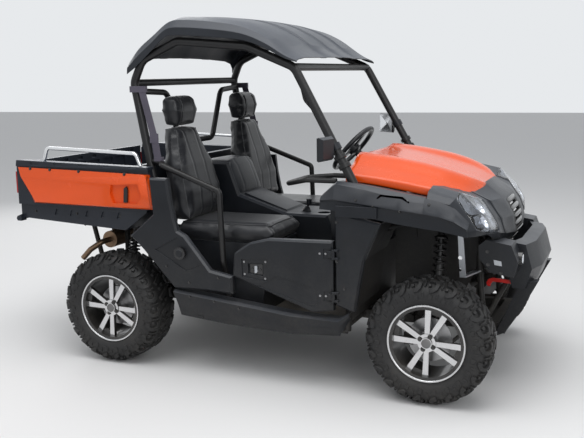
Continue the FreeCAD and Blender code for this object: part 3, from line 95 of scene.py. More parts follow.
def studio():
    """A pale floor and a soft overcast light, a little brighter from above and in front."""
    scene = bpy.context.scene
    scene.view_settings.view_transform = "Standard"
    scene.world = world = bpy.data.worlds.new("studio")
    world.use_nodes = True
    tree = world.node_tree
    tree.nodes.clear()
    sky = new_node(tree, "ShaderNodeBackground", {"Color": SKY_COLOUR, "Strength": SKY_STRENGTH})
    shown = new_node(tree, "ShaderNodeBackground", {"Color": SHOWN_COLOUR})
    path = new_node(tree, "ShaderNodeLightPath")
    seen = plus(tree, plus(tree, path["Is Camera Ray"], path["Is Glossy Ray"]), path["Is Transmission Ray"])
    mix = new_node(tree, "ShaderNodeMixShader", {0: capped(tree, seen), 1: sky[0], 2: shown[0]})
    new_node(tree, "ShaderNodeOutputWorld", {"Surface": mix[0]})
    lamp("overhead", (0.3, -1.0, 5.5), (0, 0, 0.6), (6, 5), 250)
    lamp("front_fill", (4.5, -5.0, 3.0), (0.3, 0, 0.7), (3, 3), 75)
    lamp("back_fill", (-4.5, 4.0, 3.2), (-0.3, 0, 0.8), (3, 3), 60)
    bpy.ops.mesh.primitive_plane_add(size=60)
    floor = bpy.context.object
    floor.name = "studio_floor"
    paint, tree, shader = new_material("studio_floor")
    set_inputs(tree, shader, {"Base Color": FLOOR_COLOUR, "Roughness": 0.9})
    floor.data.materials.append(paint)


# Nodes and shader groups used by more than one material


def set_inputs(tree, node, values):
    """Gives a node's inputs, by name or number, a value or the result of another node."""
    for label, value in values.items():
        if isinstance(value, (int, float, str, tuple)):
            node.inputs[label].default_value = value
        else:
            tree.links.new(value, node.inputs[label])


def new_node(tree, kind, values=(), **settings):
    """The outputs of a new node with its settings and its inputs given."""
    node = tree.nodes.new(kind)
    for label, value in settings.items():
        setattr(node, label, value)
    set_inputs(tree, node, dict(values))
    return node.outputs


def calculated(tree, operation, first, second):
    return new_node(tree, "ShaderNodeMath", {0: first, 1: second}, operation=operation)[0]


def plus(tree, first, second):
    return calculated(tree, "ADD", first, second)


def times(tree, first, second):
    return calculated(tree, "MULTIPLY", first, second)


def capped(tree, value):
    return calculated(tree, "MINIMUM", value, 1.0)


def group(name, inputs, outputs):
    """An empty node group with float inputs and outputs; returns it with what comes in and its end."""
    tree = bpy.data.node_groups.new(name, "ShaderNodeTree")
    for way, labels in (("INPUT", inputs), ("OUTPUT", outputs)):
        for label in labels:
            tree.interface.new_socket(label, in_out=way, socket_type="NodeSocketFloat")
    return tree, new_node(tree, "NodeGroupInput"), tree.nodes.new("NodeGroupOutput")


def noise(tree, scale, detail, place, rough=0.5):
    return new_node(tree, "ShaderNodeTexNoise",
                    {"Scale": scale, "Detail": detail, "Roughness": rough, "Vector": place})["Fac"]


def height_of(tree, vector):
    return new_node(tree, "ShaderNodeSeparateXYZ", {0: vector})["Z"]


def remap(tree, value, low, high, to_low=0.0, to_high=1.0):
    return new_node(tree, "ShaderNodeMapRange", {"Value": value, "From Min": low, "From Max": high,
                                                 "To Min": to_low, "To Max": to_high})["Result"]


def dust_group():
    """Dust that lies on upward faces and low down: 1 where it is thick; also how much a face looks up, for the
    painted light on tops.
    """
    tree, start, end = group("road_dust", ("Amount", "Top"), ("Mask", "Upwards"))
    place = new_node(tree, "ShaderNodeTexCoord")["Object"]
    low = remap(tree, height_of(tree, place), start["Top"], 0.05)
    up = remap(tree, height_of(tree, new_node(tree, "ShaderNodeNewGeometry")["Normal"]), 0.2, 1.0)
    cloud = remap(tree, noise(tree, 5.0, 6, place, 0.6), 0.35, 0.72)
    speck = remap(tree, noise(tree, 60.0, 4, place, 0.7), 0.42, 0.62)
    base = plus(tree, times(tree, low, 0.7), times(tree, up, 0.35))
    mottled = times(tree, base, plus(tree, times(tree, cloud, 0.75), 0.25))
    fine = times(tree, mottled, plus(tree, times(tree, speck, 0.5), 0.5))
    set_inputs(tree, end, {"Mask": capped(tree, times(tree, fine, start["Amount"])), "Upwards": up})
    return tree


def grain_group():
    """Moulded or sprayed grain: a height for bump and a slow variation for roughness."""
    tree, start, end = group("fine_grain", ("Scale", "Waves"), ("Height", "Variation"))
    place = new_node(tree, "ShaderNodeTexCoord")["Object"]
    cells = new_node(tree, "ShaderNodeTexVoronoi", {"Vector": place, "Scale": start["Scale"]})["Distance"]
    soft = noise(tree, start["Scale"], 3, place)
    set_inputs(tree, end, {"Height": plus(tree, times(tree, cells, 0.6), times(tree, soft, 0.6)),
                           "Variation": noise(tree, start["Waves"], 5, place, 0.62)})
    return tree


DUST_COLOUR = (0.27, 0.24, 0.20, 1)
WAVES = 7.0  # slow changes of colour and gloss, per metre
GRAIN_DEPTH = 0.0006
GROUPS = {}
MATERIALS = {}


def place_group(tree, name, values):
    return new_node(tree, "ShaderNodeGroup", values, node_tree=GROUPS[name])


def mix_colour(tree, factor, first, second):
    return new_node(tree, "ShaderNodeMix", {0: factor, 6: first, 7: second}, data_type="RGBA")[2]


def new_material(name):
    """A new material with its tree and its shader."""
    material = bpy.data.materials.new(name)
    material.use_nodes = True
    return material, material.node_tree, material.node_tree.nodes["Principled BSDF"]


def finish_material(name, colour, rough, bump, dust, metallic=0, coat=0, grain=900, dust_top=0.9, shade=0.75,
                    ior=1.45, spread=0.12, sheen=0, bleach=0):
    """A surface with grain, slow colour and gloss variation, dust that dulls it, and painted light on upward
    faces.
    """
    material, tree, shader = new_material(name)
    texture = place_group(tree, "fine_grain", {"Scale": grain, "Waves": WAVES})
    dust_and_top_light = place_group(tree, "road_dust", {"Amount": dust, "Top": dust_top})
    darker = tuple(c * shade for c in colour) + (1,)
    # painted highlight: a paler colour stands in for the overhead light on the tops of things
    painted_top_colour = tuple(min(c * 4 + 0.02, 1) for c in colour) + (1,)
    base = mix_colour(tree, remap(tree, texture["Variation"], 0.3, 0.7), darker, colour + (1,))
    # painted highlight: upward faces are mixed towards the paler colour by how much they look up
    base = mix_colour(tree, times(tree, dust_and_top_light["Upwards"], bleach), base, painted_top_colour)
    gloss = remap(tree, texture["Variation"], 0.25, 0.75, max(rough - spread / 2, 0.03), rough + spread / 2)
    relief = new_node(tree, "ShaderNodeBump", {"Strength": bump, "Distance": GRAIN_DEPTH,
                                               "Height": texture["Height"]})
    set_inputs(tree, shader, {
        "Base Color": mix_colour(tree, dust_and_top_light["Mask"], base, DUST_COLOUR),
        "Roughness": capped(tree, plus(tree, gloss, times(tree, dust_and_top_light["Mask"], 0.5))), "Metallic": metallic,
        "Coat Weight": coat, "Coat Roughness": 0.06, "IOR": ior, "Sheen Weight": sheen,
        "Normal": relief["Normal"]})
    return material


def glass(name, colour, rough):
    material, tree, shader = new_material(name)
    dust_and_top_light = place_group(tree, "road_dust", {"Amount": 0.35, "Top": 1.3})
    set_inputs(tree, shader, {"Base Color": mix_colour(tree, dust_and_top_light["Mask"], colour, DUST_COLOUR),
                              "Roughness": remap(tree, dust_and_top_light["Mask"], 0, 1, rough, 0.5),
                              "Transmission Weight": 1.0, "IOR": 1.45})
    return material


# name, colour, roughness, bump, dust, and what else differs from a plain plastic
# where given, the top-light value makes upward faces paler: a painted highlight of the overhead light
FINISHES = (
    ("orange_gloss", (0.76, 0.082, 0.005), 0.26, 0.01, 0.05, dict(coat=0.35, shade=0.93, spread=0.06, ior=1.36)),
    ("charcoal_plastic", (0.013, 0.015, 0.019), 0.34, 0.22, 0.24, dict(grain=1100, bleach=0.55, ior=1.36)),
    ("bed_plastic", (0.022, 0.026, 0.035), 0.36, 0.2, 0.16, dict(grain=1100, bleach=0.55, ior=1.38)),
    ("roof_plastic", (0.018, 0.021, 0.027), 0.36, 0.2, 0.1,
     dict(grain=1100, dust_top=0.5, bleach=0.6, ior=1.38)),
    ("black_powder", (0.01, 0.01, 0.011), 0.38, 0.1, 0.22, dict(grain=1600)),
    ("chassis_black", (0.01, 0.01, 0.011), 0.55, 0.15, 0.55, {}),
    ("rubber", (0.012, 0.0125, 0.014), 0.58, 0.35, 0.17, dict(grain=700, dust_top=0.85)),
    ("bright_alloy", (0.7, 0.7, 0.71), 0.22, 0.02, 0.16, dict(metallic=1, shade=0.9)),
    ("black_alloy", (0.012, 0.012, 0.013), 0.3, 0.03, 0.3, dict(coat=0.4)),
    ("grey_alloy", (0.21, 0.21, 0.215), 0.48, 0.25, 0.55, dict(metallic=0.8, grain=500)),
    ("turned_steel", (0.42, 0.42, 0.43), 0.33, 0.05, 0.4, dict(metallic=1, shade=0.7)),
    ("chrome", (0.83, 0.84, 0.85), 0.07, 0, 0.03, dict(metallic=1, shade=0.97, spread=0.03)),
    ("black_vinyl", (0.013, 0.014, 0.017), 0.31, 0.22, 0.08, dict(grain=420, sheen=0.1, bleach=0.25)),
    # the welts' vinyl is lighter than the seats': a painted highlight along the welts
    ("welt_vinyl", (0.06, 0.062, 0.066), 0.4, 0.1, 0.05, dict(grain=700)),
    ("webbing", (0.085, 0.075, 0.105), 0.75, 0.25, 0.1, dict(sheen=0.3)),
    ("red_plastic", (0.62, 0.02, 0.015), 0.35, 0.02, 0.05, dict(shade=0.9)),
    ("red_lens", (0.42, 0.008, 0.006), 0.12, 0, 0.1, dict(coat=1, shade=0.9)),
    ("silver_paint", (0.5, 0.52, 0.55), 0.38, 0.03, 0.12, dict(metallic=0.5, shade=0.9)),
    ("hot_steel", (0.3, 0.2, 0.13), 0.42, 0.08, 0.35, dict(metallic=0.9, shade=0.6)),
    ("black_gloss", (0.008, 0.008, 0.009), 0.16, 0.01, 0.1, dict(coat=0.6)),
    ("lamp_inside", (0.2, 0.21, 0.23), 0.3, 0.02, 0, dict(metallic=0.8)),
    ("mirror_bowl", (0.8, 0.81, 0.83), 0.1, 0, 0, dict(metallic=1, shade=0.95)),
)


def make_materials():
    GROUPS["road_dust"] = dust_group()
    GROUPS["fine_grain"] = grain_group()
    for name, *looks, rest in FINISHES:
        MATERIALS[name] = finish_material(name, *looks, **rest)
    MATERIALS["clear_lens"] = glass("clear_lens", (0.92, 0.95, 1.0, 1), 0.03)
    GROUPS["screw_heads"] = screw_tree()


# Pieces


def baked(piece):
    """The mesh that an object's modifiers make."""
    return bpy.data.meshes.new_from_object(piece.evaluated_get(bpy.context.evaluated_depsgraph_get()))


def solid_copy(node):
    """A mesh in the making from a CAD node, its doubles merged."""
    bm = bmesh.new()
    bm.from_mesh(nodes[node].data)
    bmesh.ops.remove_doubles(bm, verts=bm.verts, dist=MERGE)
    return bm


def surface_of(mesh):
    return BVHTree.FromPolygons([vert.co for vert in mesh.vertices], [face.vertices for face in mesh.polygons])


def round_edges(piece, width, angle=32.0):
    edge = piece.modifiers.new("edges", "BEVEL")
    edge.width = width * MM
    edge.segments = 2
    edge.limit_method = "ANGLE"
    edge.angle_limit = radians(angle)
    edge.harden_normals = True
    edge.use_clamp_overlap = True


def thicken(piece, wall):
    """A wall inwards from the piece's faces."""
    sheet = piece.modifiers.new("wall", "SOLIDIFY")
    sheet.thickness = wall * MM
    sheet.offset = -1


def shaped(name, bm, sharp, outwards, *materials):
    """A piece with its doubles merged, its faces outwards if asked and its curves shaded smooth."""
    bmesh.ops.remove_doubles(bm, verts=bm.verts, dist=MERGE)
    if outwards:
        bmesh.ops.recalc_face_normals(bm, faces=bm.faces)
    mesh = bpy.data.meshes.new(name)
    bm.to_mesh(mesh)
    bm.free()
    mesh.shade_smooth()
    mesh.set_sharp_from_angle(angle=radians(sharp))
    return link(name, mesh, *materials)


def dress(node, material, bevel=0.0, angle=32.0, second=(), rule=None):
    """A copy of a CAD node with its edges rounded and its curves shaded smooth; faces for which the rule
    holds, by their middle in mm and their normal, get the second material."""
    bm = solid_copy(node)
    bmesh.ops.dissolve_limit(bm, angle_limit=radians(0.6), verts=bm.verts, edges=bm.edges)
    if rule:
        for face in bm.faces:
            face.material_index = int(rule(face.calc_center_median() / MM, face.normal))
    piece = shaped(node + "_dressed", bm, angle, False, material, *second)
    if bevel:
        round_edges(piece, bevel, angle)
    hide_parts(node)
    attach(piece, BODY_OF[node])


def add(name, bm, body, slot, *materials, bevel=0.0, sharp=35.0, stands_for=()):
    """A new piece from a mesh in the making."""
    piece = shaped(name, bm, sharp, True, *materials)
    if bevel:
        round_edges(piece, bevel)
    if stands_for:
        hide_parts(*stands_for)
    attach(piece, body)
    return piece


# Shapes, drawn in millimetres


def angles(count):
    """The angles of so many even steps round a full turn."""
    return [2 * pi * i / count for i in range(count)]


def ring(bm, middle, along, radius, sides, start=None):
    """Corners round an axis; the start is a direction across it."""
    along = along.normalized()
    across = start or (Vector((1, 0, 0)) if abs(along.x) < 0.8 else Vector((0, 0, 1)))
    across = (across - along * across.dot(along)).normalized()
    over = along.cross(across)
    return [bm.verts.new((middle + (across * cos(a) + over * sin(a)) * radius) * MM) for a in angles(sides)]


def section_ring(bm, section, a):
    """Corners of a section of (y, radius) at an angle round the y axis."""
    return [bm.verts.new(Vector((r * sin(a), y, r * cos(a))) * MM) for y, r in section]


def bridge(bm, first, second, material=0):
    count = len(first)
    for i in range(count):
        face = bm.faces.new((first[i], first[(i + 1) % count], second[(i + 1) % count], second[i]))
        face.material_index = material


def capped_rings(bm, rings, material=0):
    """Rings joined one to the next and closed at both ends."""
    for first, second in zip(rings, rings[1:]):
        bridge(bm, first, second, material)
    for end in (rings[0][::-1], rings[-1]):
        bm.faces.new(end).material_index = material


def looped_rings(bm, rings, material=0):
    """Rings joined one to the next and the last to the first."""
    for first, second in zip(rings, rings[1:] + rings[:1]):
        bridge(bm, first, second, material)


def open_rows(bm, rows):
    """Open rows of corners joined one to the next."""
    for first, second in zip(rows, rows[1:]):
        for j in range(len(first) - 1):
            bm.faces.new((first[j], first[j + 1], second[j + 1], second[j]))


def turned(bm, start, along, profile, sides=32, material=0, join=capped_rings):
    """A turned solid with rows of (distance along its axis, radius); looped rings make an open hoop of it."""
    start, along = Vector(start), Vector(along).normalized()
    join(bm, [ring(bm, start + along * distance, along, radius, sides) for distance, radius in profile], material)


def smooth_line(points, steps):
    """Points on a smooth curve through the given ones, so many steps from each to the next."""
    places = [0.0]
    for first, second in zip(points, points[1:]):
        places.append(places[-1] + max((second - first).length, 1e-6))
    last = len(points) - 1
    spans = [(max(i - 1, 0), min(i + 1, last)) for i in range(last + 1)]
    slopes = [(points[after] - points[before]) / (places[after] - places[before]) for before, after in spans]
    line = []
    for i in range(last):
        span = places[i + 1] - places[i]
        for step in range(steps):
            t = step / steps
            line.append(points[i] * (2 * t ** 3 - 3 * t ** 2 + 1) + slopes[i] * span * (t ** 3 - 2 * t ** 2 + t)
                        + points[i + 1] * (3 * t ** 2 - 2 * t ** 3) + slopes[i + 1] * span * (t ** 3 - t ** 2))
    return line + [points[-1]]


def bar(bm, points, radius, sides=12):
    """A round bar along points that lie close together; the radius is one number or one for each point."""
    rings = []
    last = len(points) - 1
    across = None
    for i, point in enumerate(points):
        along = (points[min(i + 1, last)] - points[max(i - 1, 0)]).normalized()
        across = along.orthogonal() if across is None else across
        across = (across - along * across.dot(along)).normalized()
        size = radius if isinstance(radius, (int, float)) else radius[i]
        rings.append(ring(bm, point, along, size, sides, across))
    capped_rings(bm, rings)


def plate(bm, outline, y0, y1, material=0):
    """A plate with an outline of (x, z) points between two values of y."""
    capped_rings(bm, [[bm.verts.new(Vector((x, y, z)) * MM) for x, z in outline] for y in (y0, y1)], material)


def skin(bm, rows, along, across):
    """A surface through a table of sections, smooth along them, and across them where that has steps."""
    columns = [smooth_line([row[j] for row in rows], along) for j in range(len(rows[0]))]
    fine = [[column[i] for column in columns] for i in range(len(columns[0]))]
    if across > 1:
        fine = [smooth_line(row, across) for row in fine]
    open_rows(bm, [[bm.verts.new(point * MM) for point in row] for row in fine])


def mirrored_row(x, side):
    """A section at x: the left side's (y, z) points, then their mirror images."""
    return [Vector((x, y, z)) for y, z in side + [(-y, z) for y, z in side[::-1]]]


def sheet_panel(node, rows, wall, along, across, material, bevel=0.0, sharp=50.0):
    """A moulded panel of one thickness through a table of sections, its outer side up."""
    bm = bmesh.new()
    skin(bm, rows, along, across)
    bmesh.ops.recalc_face_normals(bm, faces=bm.faces)
    if sum((face.normal * face.calc_area()).z for face in bm.faces) < 0:
        bmesh.ops.reverse_faces(bm, faces=bm.faces)
    piece = shaped(node + "_panel", bm, sharp, False, material)
    thicken(piece, wall)
    if bevel:
        round_edges(piece, bevel, 25.0)
    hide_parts(node)
    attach(piece, BODY_OF[node])


# Screws, made by Geometry Nodes on points that know which way is out

# sides, radius and height of the hexagon and of its washer, by the head's radius
HEAD_PARTS = ((6, 1.0, 0.9), (20, 1.45, 0.25))


def screw_tree():
    """Hexagon heads with a washer on every point, turned to the point's own direction."""
    tree = bpy.data.node_groups.new("screw_heads", "GeometryNodeTree")
    for label, way, kind in (("Geometry", "INPUT", "Geometry"), ("Head Radius", "INPUT", "Float"),
                             ("Finish", "INPUT", "Material"), ("Geometry", "OUTPUT", "Geometry")):
        tree.interface.new_socket(label, in_out=way, socket_type="NodeSocket" + kind)
    start = new_node(tree, "NodeGroupInput")
    parts = tree.nodes.new("GeometryNodeJoinGeometry")
    for sides, wide, high in HEAD_PARTS:
        depth = times(tree, start["Head Radius"], high)
        head = new_node(tree, "GeometryNodeMeshCylinder",
                        {"Vertices": sides, "Radius": times(tree, start["Head Radius"], wide), "Depth": depth})
        lift = new_node(tree, "ShaderNodeCombineXYZ", {"Z": times(tree, depth, 0.5)})
        raised = new_node(tree, "GeometryNodeTransform", {"Geometry": head["Mesh"], "Translation": lift[0]})
        tree.links.new(raised[0], parts.inputs[0])
    out = new_node(tree, "GeometryNodeInputNamedAttribute", {"Name": "outwards"}, data_type="FLOAT_VECTOR")
    turn = new_node(tree, "FunctionNodeAlignEulerToVector", {"Vector": out["Attribute"]}, axis="Z")
    copies = new_node(tree, "GeometryNodeInstanceOnPoints",
                      {"Points": start["Geometry"], "Instance": parts.outputs[0], "Rotation": turn[0]})
    real = new_node(tree, "GeometryNodeRealizeInstances", {0: copies[0]})
    painted = new_node(tree, "GeometryNodeSetMaterial", {"Geometry": real[0], "Material": start["Finish"]})
    new_node(tree, "NodeGroupOutput", {"Geometry": painted[0]})
    return tree


def screws(name, body, material, radius, places):
    """Screw heads at places of (point, outward direction)."""
    mesh = bpy.data.meshes.new(name + "_points")
    mesh.from_pydata([Vector(point) * MM for point, _ in places], [], [])
    out = mesh.attributes.new("outwards", "FLOAT_VECTOR", "POINT")
    for row, (_, direction) in zip(out.data, places):
        row.vector = Vector(direction).normalized()
    maker = link(name + "_maker", mesh)
    heads = maker.modifiers.new("heads", "NODES")
    heads.node_group = GROUPS["screw_heads"]
    values = {"Head Radius": radius * MM, "Finish": MATERIALS[material]}
    for socket in heads.node_group.interface.items_tree:
        if socket.in_out == "INPUT" and socket.name in values:
            heads[socket.identifier] = values[socket.name]
    made = baked(maker)
    bpy.data.objects.remove(maker)
    made.name = name
    piece = link(name, made)
    if not made.materials:
        made.materials.append(MATERIALS[material])
    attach(piece, body)


# Wheels

HUB_Z = 320.0
TYRE_OUT = 750.0  # y of the tyres' outer sides
# name, axle x, side, half width of the tyre; its bead's y and the rim's hub face's y, from its middle
WHEELS = (("front_left", 1020, 1, 110, 86.7, 74), ("front_right", 1020, -1, 110, 86.7, 74),
          ("rear_left", -840, 1, 130, 100.7, 88), ("rear_right", -840, -1, 130, 100.7, 88))
TYRE_STEPS = 110
TYRE_PITCHES = 22
CROWN = 307.0
LUG_TOP = 11.5  # height of the tread's lugs above the crown
SIDE_LUG = 5.0  # and of the ribs on the side walls
LUG_ROOT = -3.0  # how far the lugs reach into the tyre
LUG_TAPER = 2.5
SHOULDER = 58.0  # where the shoulder lugs start, in from the tyre's side
RIM_SINK = 20.0  # how far the spokes' faces lie in from the rim's edge
SPOKE_REACH = 172.0
SPOKE_FACE = 7.0  # depth of the machined faces
BOLT_CIRCLE, FIRST_BOLT = 37.0, 62.0


def tyre_profile(half, bead):
    """The tyre's outer line from its crown to its bead, as (y, 0, radius)."""
    half -= SIDE_LUG
    line = [(0, CROWN), (half - 62, CROWN), (half - 40, 301), (half - 23, 291), (half - 10, 277), (half - 2, 261),
            (half, 243), (half - 4, 222), (half - 13, 206), (bead, 197)]
    return smooth_line([Vector((y, 0, radius)) for y, radius in line], 3)


def on_tyre(line, run, turn, lift):
    """The point on the tyre at a run along its outer line and an angle, lifted off its surface."""
    sign = 1 if run >= 0 else -1
    left = abs(run)
    for first, second in zip(line, line[1:]):
        step = (second - first).length
        if left <= step or second is line[-1]:
            here = first.lerp(second, min(left / step, 1.0))
            out = Vector((second.z - first.z, 0, -(second.x - first.x))).normalized()
            out = -out if out.z < 0 or (abs(out.z) < 0.3 and out.x < 0) else out
            break
        left -= step
    widest = max(point.x for point in line) + SIDE_LUG
    radius = min(here.z + out.z * lift, CROWN + LUG_TOP)
    return Vector((radius * sin(turn), sign * min(here.x + out.x * lift, widest), radius * cos(turn)))


# Tread lugs: middle line as (mm round the tyre, mm across its outer line), width, height
MIDDLE_LUGS = (([(-22, -40), (-10, -20), (0, 0), (10, 20), (22, 40)], 25, 13), ([(30, -26), (38, -6)], 20, 12),
               ([(-38, 6), (-30, 26)], 20, 12))
SHOULDER_LUGS = (([(-34, 4), (-14, 0), (6, 8), (14, 26), (10, 46), (-6, 58), (-24, 60)], 25, 15),
                 ([(-28, 24), (-24, 42)], 20, 12), ([(34, -4), (40, 20), (38, 42)], 11, 11),
                 ([(-14, 76), (-18, 104)], 30, 6), ([(26, 66), (28, 92)], 14, 5))


def lug(bm, line, course, width, height, turn, flip):
    """A rounded lug along its course over the tyre's surface, narrower at its top."""
    rows = []
    last = len(course) - 1
    for i, (round_tyre, run) in enumerate(course):
        step = (Vector(course[min(i + 1, last)]) - Vector(course[max(i - 1, 0)])).normalized()
        across = Vector((-step.y, step.x))
        row = []
        for side, lift in ((1, LUG_ROOT), (1, height), (-1, height), (-1, LUG_ROOT)):
            taper = LUG_TAPER if lift > 0 else 0
            end = taper * (1 if i == 0 else -1 if i == last else 0)
            place = Vector((round_tyre, run)) + across * side * (width / 2 - taper) + step * end
            row.append(bm.verts.new(on_tyre(line, flip * place.y, turn + flip * place.x / CROWN, lift) * MM))
        rows.append(row)
    open_rows(bm, rows)
    bm.faces.new(rows[0])
    bm.faces.new(rows[-1][::-1])


def tyre(tag, axle_x, side, half, bead):
    line = tyre_profile(half, bead)
    bm = bmesh.new()
    section = [(-p.x, p.z) for p in line[::-1]] + [(p.x, p.z) for p in line[1:]] + [(bead, 180), (-bead, 180)]
    looped_rings(bm, [section_ring(bm, section, a) for a in angles(TYRE_STEPS)])
    for i in range(TYRE_PITCHES):
        turn = 2 * pi * (i + 0.5) / TYRE_PITCHES
        for course, width, height in MIDDLE_LUGS:
            lug(bm, line, course, width, height, turn, 1)
        for flip in (1, -1):
            for course, width, height in SHOULDER_LUGS:
                lug(bm, line, [(a, half - SHOULDER + b) for a, b in course], width, height, turn, flip)
    middle = Vector((axle_x, side * (TYRE_OUT - half), HUB_Z)) * MM
    for vert in bm.verts:
        vert.co = Vector((vert.co.x, side * vert.co.y, vert.co.z)) + middle
    piece = add("tyre_" + tag + "_tread", bm, BODY_OF["tyre_" + tag], "tyre_rubber", "rubber", sharp=40,
                stands_for=("tyre_" + tag,))
    round_edges(piece, 2.2, 38.0)


def wheel(tag, axle_x, side, half, bead, hub_y):
    tyre(tag, axle_x, side, half, bead)
    middle = side * (TYRE_OUT - half)
    face = middle + side * hub_y
    edge = hub_y + RIM_SINK
    body = BODY_OF["rim_" + tag]
    out = (0, side, 0)

    def bright(place, normal):
        """Machined faces: the spokes' outer sides, not the sunk wedges and the barrel."""
        return (side * normal.y >= 0.5 and hypot(place.x - axle_x, place.z - HUB_Z) < SPOKE_REACH
                and side * (place.y - middle) > hub_y - SPOKE_FACE)

    dress("rim_" + tag, "black_alloy", 1.6, 30.0, ["bright_alloy"], bright)
    dress("disc_" + tag, "turned_steel")
    bm = bmesh.new()
    turned(bm, (axle_x, face + side * SPOKE_FACE, HUB_Z), out, [(0, 24), (2.5, 24), (5, 20), (5.5, 8)], 40)
    add("hub_cap_" + tag, bm, body, "cast_alloy", "grey_alloy", sharp=30)
    bm = bmesh.new()
    turned(bm, (axle_x, middle, HUB_Z), out,
           [(edge - 9, 196.5), (edge - 1, 196.5), (edge + 0.8, 194), (edge + 0.6, 190), (edge - 2, 187),
            (edge - 12, 182.5), (edge - 12, 180.5), (edge - 9, 180.5)], 96, join=looped_rings)
    add("rim_lip_" + tag, bm, body, "wheel_alloy", "bright_alloy", sharp=50)
    places = [((axle_x + BOLT_CIRCLE * cos(a), face, HUB_Z + BOLT_CIRCLE * sin(a)), out)
              for a in [radians(FIRST_BOLT + 90 * i) for i in range(4)]]
    screws("wheel_nuts_" + tag, body, "black_alloy", 8.5, places)


# Front body and roof

# the hood's sections: x, half width, then the heights of its lower edge, shoulder, ridge and middle
HOOD = ((548, 555, 1088, 1134, 1213, 1201), (700, 556, 1072, 1120, 1197, 1181),
        (880, 545, 1042, 1092, 1167, 1146), (1010, 520, 1015, 1062, 1133, 1113),
        (1120, 430, 990, 1022, 1089, 1077), (1190, 265, 988, 1003, 1047, 1043))
# the roof's sections: x, lower edge, rim, crown, depth of the grooves
ROOF = ((-705, 1648, 1712, 1742, 1), (-640, 1690, 1785, 1818, 1), (-545, 1766, 1853, 1892, 1),
        (-450, 1840, 1918, 1956, 2), (-380, 1848, 1930, 1966, 9), (-130, 1828, 1906, 1944, 10),
        (20, 1808, 1872, 1908, 10), (140, 1766, 1816, 1850, 9), (250, 1712, 1742, 1768, 6),
        (318, 1692, 1708, 1724, 2))


def hood():
    rows = [mirrored_row(x, [(half, low), (half - 5, shoulder - 14), (0.94 * half, shoulder),
                             (0.78 * half, 0.58 * shoulder + 0.42 * ridge), (0.65 * half, ridge - 9),
                             (0.57 * half, ridge), (0.47 * half, ridge - 2), (0.36 * half, middle + 2),
                             (0.12 * half, middle)])
            for x, half, low, shoulder, ridge, middle in HOOD]
    sheet_panel("hood", rows, 5, 6, 4, "orange_gloss", sharp=60)


def roof():
    rows = [mirrored_row(x, [(634, low), (630, (low + rim) / 2), (600, rim), (520, rim + 0.55 * (crown - rim)),
                             (300, crown - 4), (286, crown - 4 - groove), (214, crown - 3 - groove),
                             (200, crown - 2), (44, crown), (32, crown - groove)])
            for x, low, rim, crown, groove in ROOF]
    sheet_panel("roof", rows, 5, 5, 1, "roof_plastic", bevel=7)


LAMP_OUT = Vector((0.76, 0, 0.65))
FOG_TOP = 0.80  # metres: below it lie the round lamps in the bumper
FOG_Y, FOG_Z, FOG_RADIUS, FOG_FRONT = 366, 700, 32, 1395
# place and direction of the bowls in the left headlamp, and their section
BOWLS = (((1247, 560, 903), (0.86, 0.05, 0.5)), ((1211, 468, 951), (0.78, 0, 0.63)))
BOWL = [(-12, 14), (0, 24), (10, 33), (16, 36), (16, 33.5), (9, 30), (0, 21), (-8, 8)]


def headlamps():
    """Clear lenses over dark housings with two bowls a side, and the round lamps in the bumper."""
    def large(face):
        return face.calc_center_median().z > FOG_TOP

    def lens(face):
        return large(face) and face.normal.dot(LAMP_OUT) > 0.3

    pieces = []
    for name, keep, wall, *materials in (
            ("lamp_lenses", lens, 2.5, "clear_lens"),
            ("lamp_housings", lambda face: large(face) and not lens(face), 1.5, "lamp_inside"),
            ("fog_lamps", lambda face: not large(face), 0, "black_gloss", "mirror_bowl")):
        bm = solid_copy("headlamps")
        bmesh.ops.delete(bm, geom=[face for face in bm.faces if not keep(face)], context="FACES")
        for face in bm.faces:
            middle = face.calc_center_median() / MM
            bowl = hypot(abs(middle.y) - FOG_Y, middle.z - FOG_Z) < FOG_RADIUS and middle.x > FOG_FRONT
            face.material_index = int(bowl)
        pieces.append(shaped(name, bm, 30, False, *materials))
        if wall:
            thicken(pieces[-1], wall)
    for piece in pieces:
        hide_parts("headlamps")
        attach(piece, "chassis")
    bm = bmesh.new()
    for side in (1, -1):
        for (x, y, z), (ahead, outer, up) in BOWLS:
            middle, out = Vector((x, side * y, z)), Vector((ahead, side * outer, up))
            turned(bm, middle, out, BOWL)
            turned(bm, middle - out * 8, out, [(0, 6), (10, 6), (14, 4)], 16, 1)
        turned(bm, (1414, side * FOG_Y, FOG_Z), (1, 0, 0), [(0, 29), (1.5, 29), (2.5, 27)], 32, 1)
    add("lamp_bowls", bm, "chassis", "lamp_lens", "mirror_bowl", "clear_lens", sharp=40)


# Seats

SEAT_Y = 402.0
PAD_SHRINK, PAD_VOXEL, PAD_FRAMES, PAD_PRESSURE, PAD_PASSES = 7.0, 8.0, 12, 4, 7
PAD_ROOM = 3.0  # how far a pad may stand out of its solid's box
SEAM_HALF = 9.0
# piece, node, how far it may swell, its fill; its seams: distance from the seat's middle, the axis that their
# faces look along, depth
PADS = (("seat_cushion_pads", "seat_cushions", 12, 0.7, 150, 2, 3),
        ("seat_back_pads", "seat_backs", 12, 0.7, 60, 0, 2.5),
        ("headrest_pads", "headrests", 10, 0.8, 66, 0, 3))


